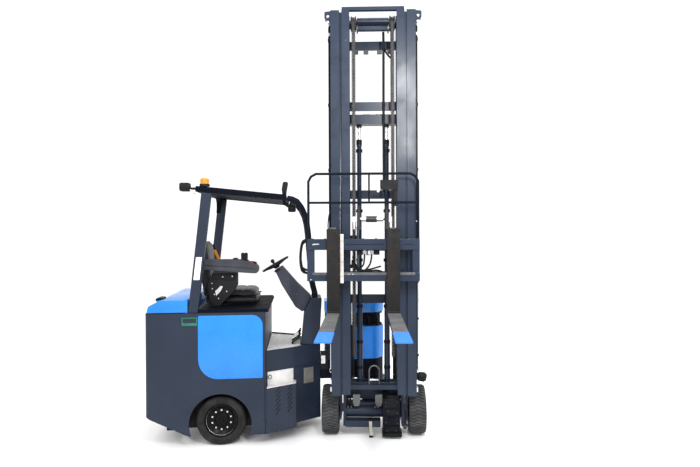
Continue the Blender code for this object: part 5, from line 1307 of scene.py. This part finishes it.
def makeCarriageTrim():
    (Form("valveBlock", "blackPlastic", "forks")
     .block((668, -150, 1704.5), (704, 40, 1706.5))
     .block((664, -142, 1664), (700, -92, 1704))
     .block((664, -64, 1660), (702, -36, 1704))
     .block((664, -4, 1664), (700, 48, 1704))
     .done(2))
    fittings = Form("valveFittings", "boltSteel", "forks")
    for y in (-78, -20):
        fittings.rod((690, y, 1704), (690, y, 1668), 8.5, 12)
        fittings.rod((690, y, 1684), (690, y, 1672), 11.5, 6)
    for y in (-214, -180):
        fittings.bolt((742, y, 1502), (1, 0, 0), 5, 4)
    fittings.bolt((742, -533, 1456), (1, 0, 0), 5.5, 4)
    fittings.slab([(-520, 1748), (-462, 1752), (-462, 1760), (-500, 1762), (-520, 1756)],
                  "X", 742.2, 746)
    fittings.block((676, -52, 1666), (706, -30, 1700))
    fittings.done(0.8)
    hoses = Form("carriageHoses", "hoseRubber", "forks")
    for points in carriageLook["hoseLoops"]:
        hoses.hose(points, 7.2, 10, 6)
    hoses.done(0)
    pad = Form("carriagePads", "sheaveSteel", "carriage")
    for y in (-128, 112):
        pad.rod((640, y, 1879.5), (640, y, 2085), 16.5, 18, 14)
        pad.block((622, y - 20, 1879.5), (658, y + 20, 1900))
    pad.rod((640, -137, 1968), (640, 137, 1968), 10, 12)
    pad.rod((640, -66, 1968), (640, 27, 1968), 26.5, 24)
    pad.done(1)
    white = Form("chainShackles", "boltSteel", "carriage")
    for low, high in ((-110, -66.5), (27.5, 80)):
        white.rod((640, low, 1968), (640, high, 1968), 21.5, 6)
    white.block((628, -186, 1944), (652, -148, 1990))
    white.block((628, 130, 1944), (652, 158, 1990))
    white.rod((640, -167, 1880), (640, -167, 1944), 13, 14)
    white.rod((640, 147, 1880), (640, 147, 1944), 14.5, 14)
    white.done(1)
    strip = Form("liftScale", "creamStrip", "forks")  # bare wear strip beside the fork's shank
    low, high = carriageLook["stripZ"]
    count = 7
    for index in range(count):
        z = low + (high - low) * index / count
        strip.block((742.5, -284.5, z + 0.8), (748, -256, z + (high - low) / count - 0.8))
    strip.done(1)
    latches = Form("forkLatches", "darkSteel", "forks")
    for y in (-342, 162):
        latches.block((722, y - 30, 1884.8), (744, y + 24, 1894.5))
    latches.done(2)
    (Form("sensorLead", "hoseRubber", "mast_outer")
     .hose([(560, -371.5, 2040), (566, -388, 2010), (570, -396, 1950), (568, -398, 1900),
            (560, -390, 1868), (548, -374, 1860)], 5, 8, 6)
     .done(0))
    (Form("barSeams", "blackPlastic", "forks")
     .block((741.5, -262, 1750.5), (742.4, 84, 1756.5))
     .block((741.5, 250, 1750.5), (742.4, 330, 1756.5))
     .done(0))
    wearAndHighlight = Form("barEdgeHighlight", "darkSteel", "forks")  # painted highlight: lighter steel strips along the lower bar's upper edge stand in for light on its bevel
    for start, end in ((-520, -397.5), (-254, 106.5), (217.5, 345)):
        wearAndHighlight.block((741, start, 1496), (742.8, end, 1518))
    wearAndHighlight.done(0.5)
    (Form("signalBox", "blackPlastic", "forks")  # on a stay up from the backrest's middle bar
     .block((705, 54, 2213), (729, 206, 2298))
     .block((711, 168, 2075), (716, 200, 2230))
     .done(3))
    (Form("signalBoxGland", "boltSteel", "forks")
     .rod((717, 56, 2222), (717, 30, 2196.001), 11.5, 12)  # a hair off 45 degrees, for its facets' turn
     .done(0))
    nicks = Form("barNotches", "sheaveSteel", "forks")
    for index in range(9):
        y = -520 + index * 107.5
        if not (-400 < y < -250 or 100 < y < 230):
            nicks.block((712, y - 9, 1800), (738.5, y + 9, 1804.5))
    nicks.done(1)


makeCarriageTrim()
print("stage: carriage")


# Front frame: axle fittings, drive box and hanging strap

frontLook = {
    "boxBolts": ((105, 330), (210, 330), (105, 290), (128, 250), (210, 235),
                 (105, 150), (210, 140), (118, 75), (200, 78)),
    "strap": (420.5, -46, -18),     # x, and y from and to
}


def makeFrontTrim():
    bolts = Form("frontBolts", "darkSteel", "front_frame")
    for y, z in frontLook["boxBolts"]:
        bolts.bolt((455.2, y, z), (1, 0, 0), 4.5, 5)
    for y, z in ((-235, 262), (-205, 262), (12, 262), (40, 262)):
        bolts.rod((372, y, z - 10), (372, y, z + 8), 8, 6)
    bolts.spin([(16.5, -10), (21.5, -10), (21.5, 10), (16.5, 10)],
               (360, 285, 88), (0, 0, 1), 24)
    bolts.done(0.6)
    (Form("tyreGuards", "darkPaint", "front_frame")  # plates beside the tyres
     .slab([(150, 150), (398, 150), (398, 372), (360, 404), (150, 404)],
           "Y", 294, 306)
     .slab([(262, 236), (262, 300), (300, 300), (300, 236)],
           "X", 384, 396)
     .twin()
     .done(1.5))
    grey = Form("axleSleeves", "darkSteel", "front_frame")
    for y in (-190, 12):
        grey.block((382.6, y, 300), (412, y + 66, 384))
        grey.block((382.6, y + 8, 276), (404, y + 58, 300))
    grey.done(3, slot="bright_plate")
    ribs = Form("driveBoxRibs", "framePaint", "front_frame")
    for z in (110, 200, 270):
        ribs.block((455.2, 92, z), (464, 222, z + 8))
    for y in (92, 218):
        ribs.block((455.2, y, 70), (461, y + 6, 345))
    ribs.rod((455.2, 160, 170), (470, 160, 170), 34, 28, 30)
    ribs.done()
    strap = Form("groundStrap", "strapWebbing", "front_frame")
    x, y0, y1 = frontLook["strap"]
    strap.slab([(y0, 150), (y1, 150), (y1 + 2, 90), (y1 + 14, 12), (y0 + 14, 10),
                (y0 + 4, 90)], "X", x, x + 3.5)
    strap.done(0.8)
    (Form("strapFoot", "blackPlastic", "front_frame")
     .block((x - 6, y0 + 2, 1), (x + 10, y1 + 12, 18))
     .block((372, y0 - 4, 146), (x + 6, y1 + 4, 166))
     .done(2))
    hoses = Form("axleHoses", "hoseRubber", "front_frame")
    for offset in (0, 22):
        hoses.hose([(372, -235 + offset, 270), (380, -236 + offset, 310), (372, -238 + offset, 360),
                    (340, -236 + offset, 412), (290, -225 + offset, 430)], 8.5, 10, 5)
        hoses.hose([(372, 36 - offset, 270), (384, 60 - offset, 315), (376, 98 - offset, 372),
                    (330, 120 - offset, 412), (270, 110 - offset, 425)], 8.5, 10, 5)
    hoses.done(0)


def makeNoseTrim():
    ribs = Form("noseTrim", "blackPlastic", "chassis")
    ribs.rod((0, 0, 950.5), (0, 0, 966), 94, 40, 88)
    ribs.rod((0, 0, 1066), (0, 0, 1084.5), 88, 40, 94)
    for step in range(12):
        angle = 2 * pi * step / 12
        ribs.bolt((80 * cos(angle), 80 * sin(angle), 966), (0, 0, 1), 6, 6)
    ribs.hose([(-60, -80, 952), (-50, -96, 1000), (-60, -86, 1050), (-80, -70, 1084)],
              10, 10, 5)
    ribs.hose([(30, -78, 952), (34, -94, 1000), (20, -88, 1050), (0, -70, 1084)],
              10, 10, 5)
    ribs.done(0.8)


makeFrontTrim()
makeNoseTrim()
print("stage: front frame")
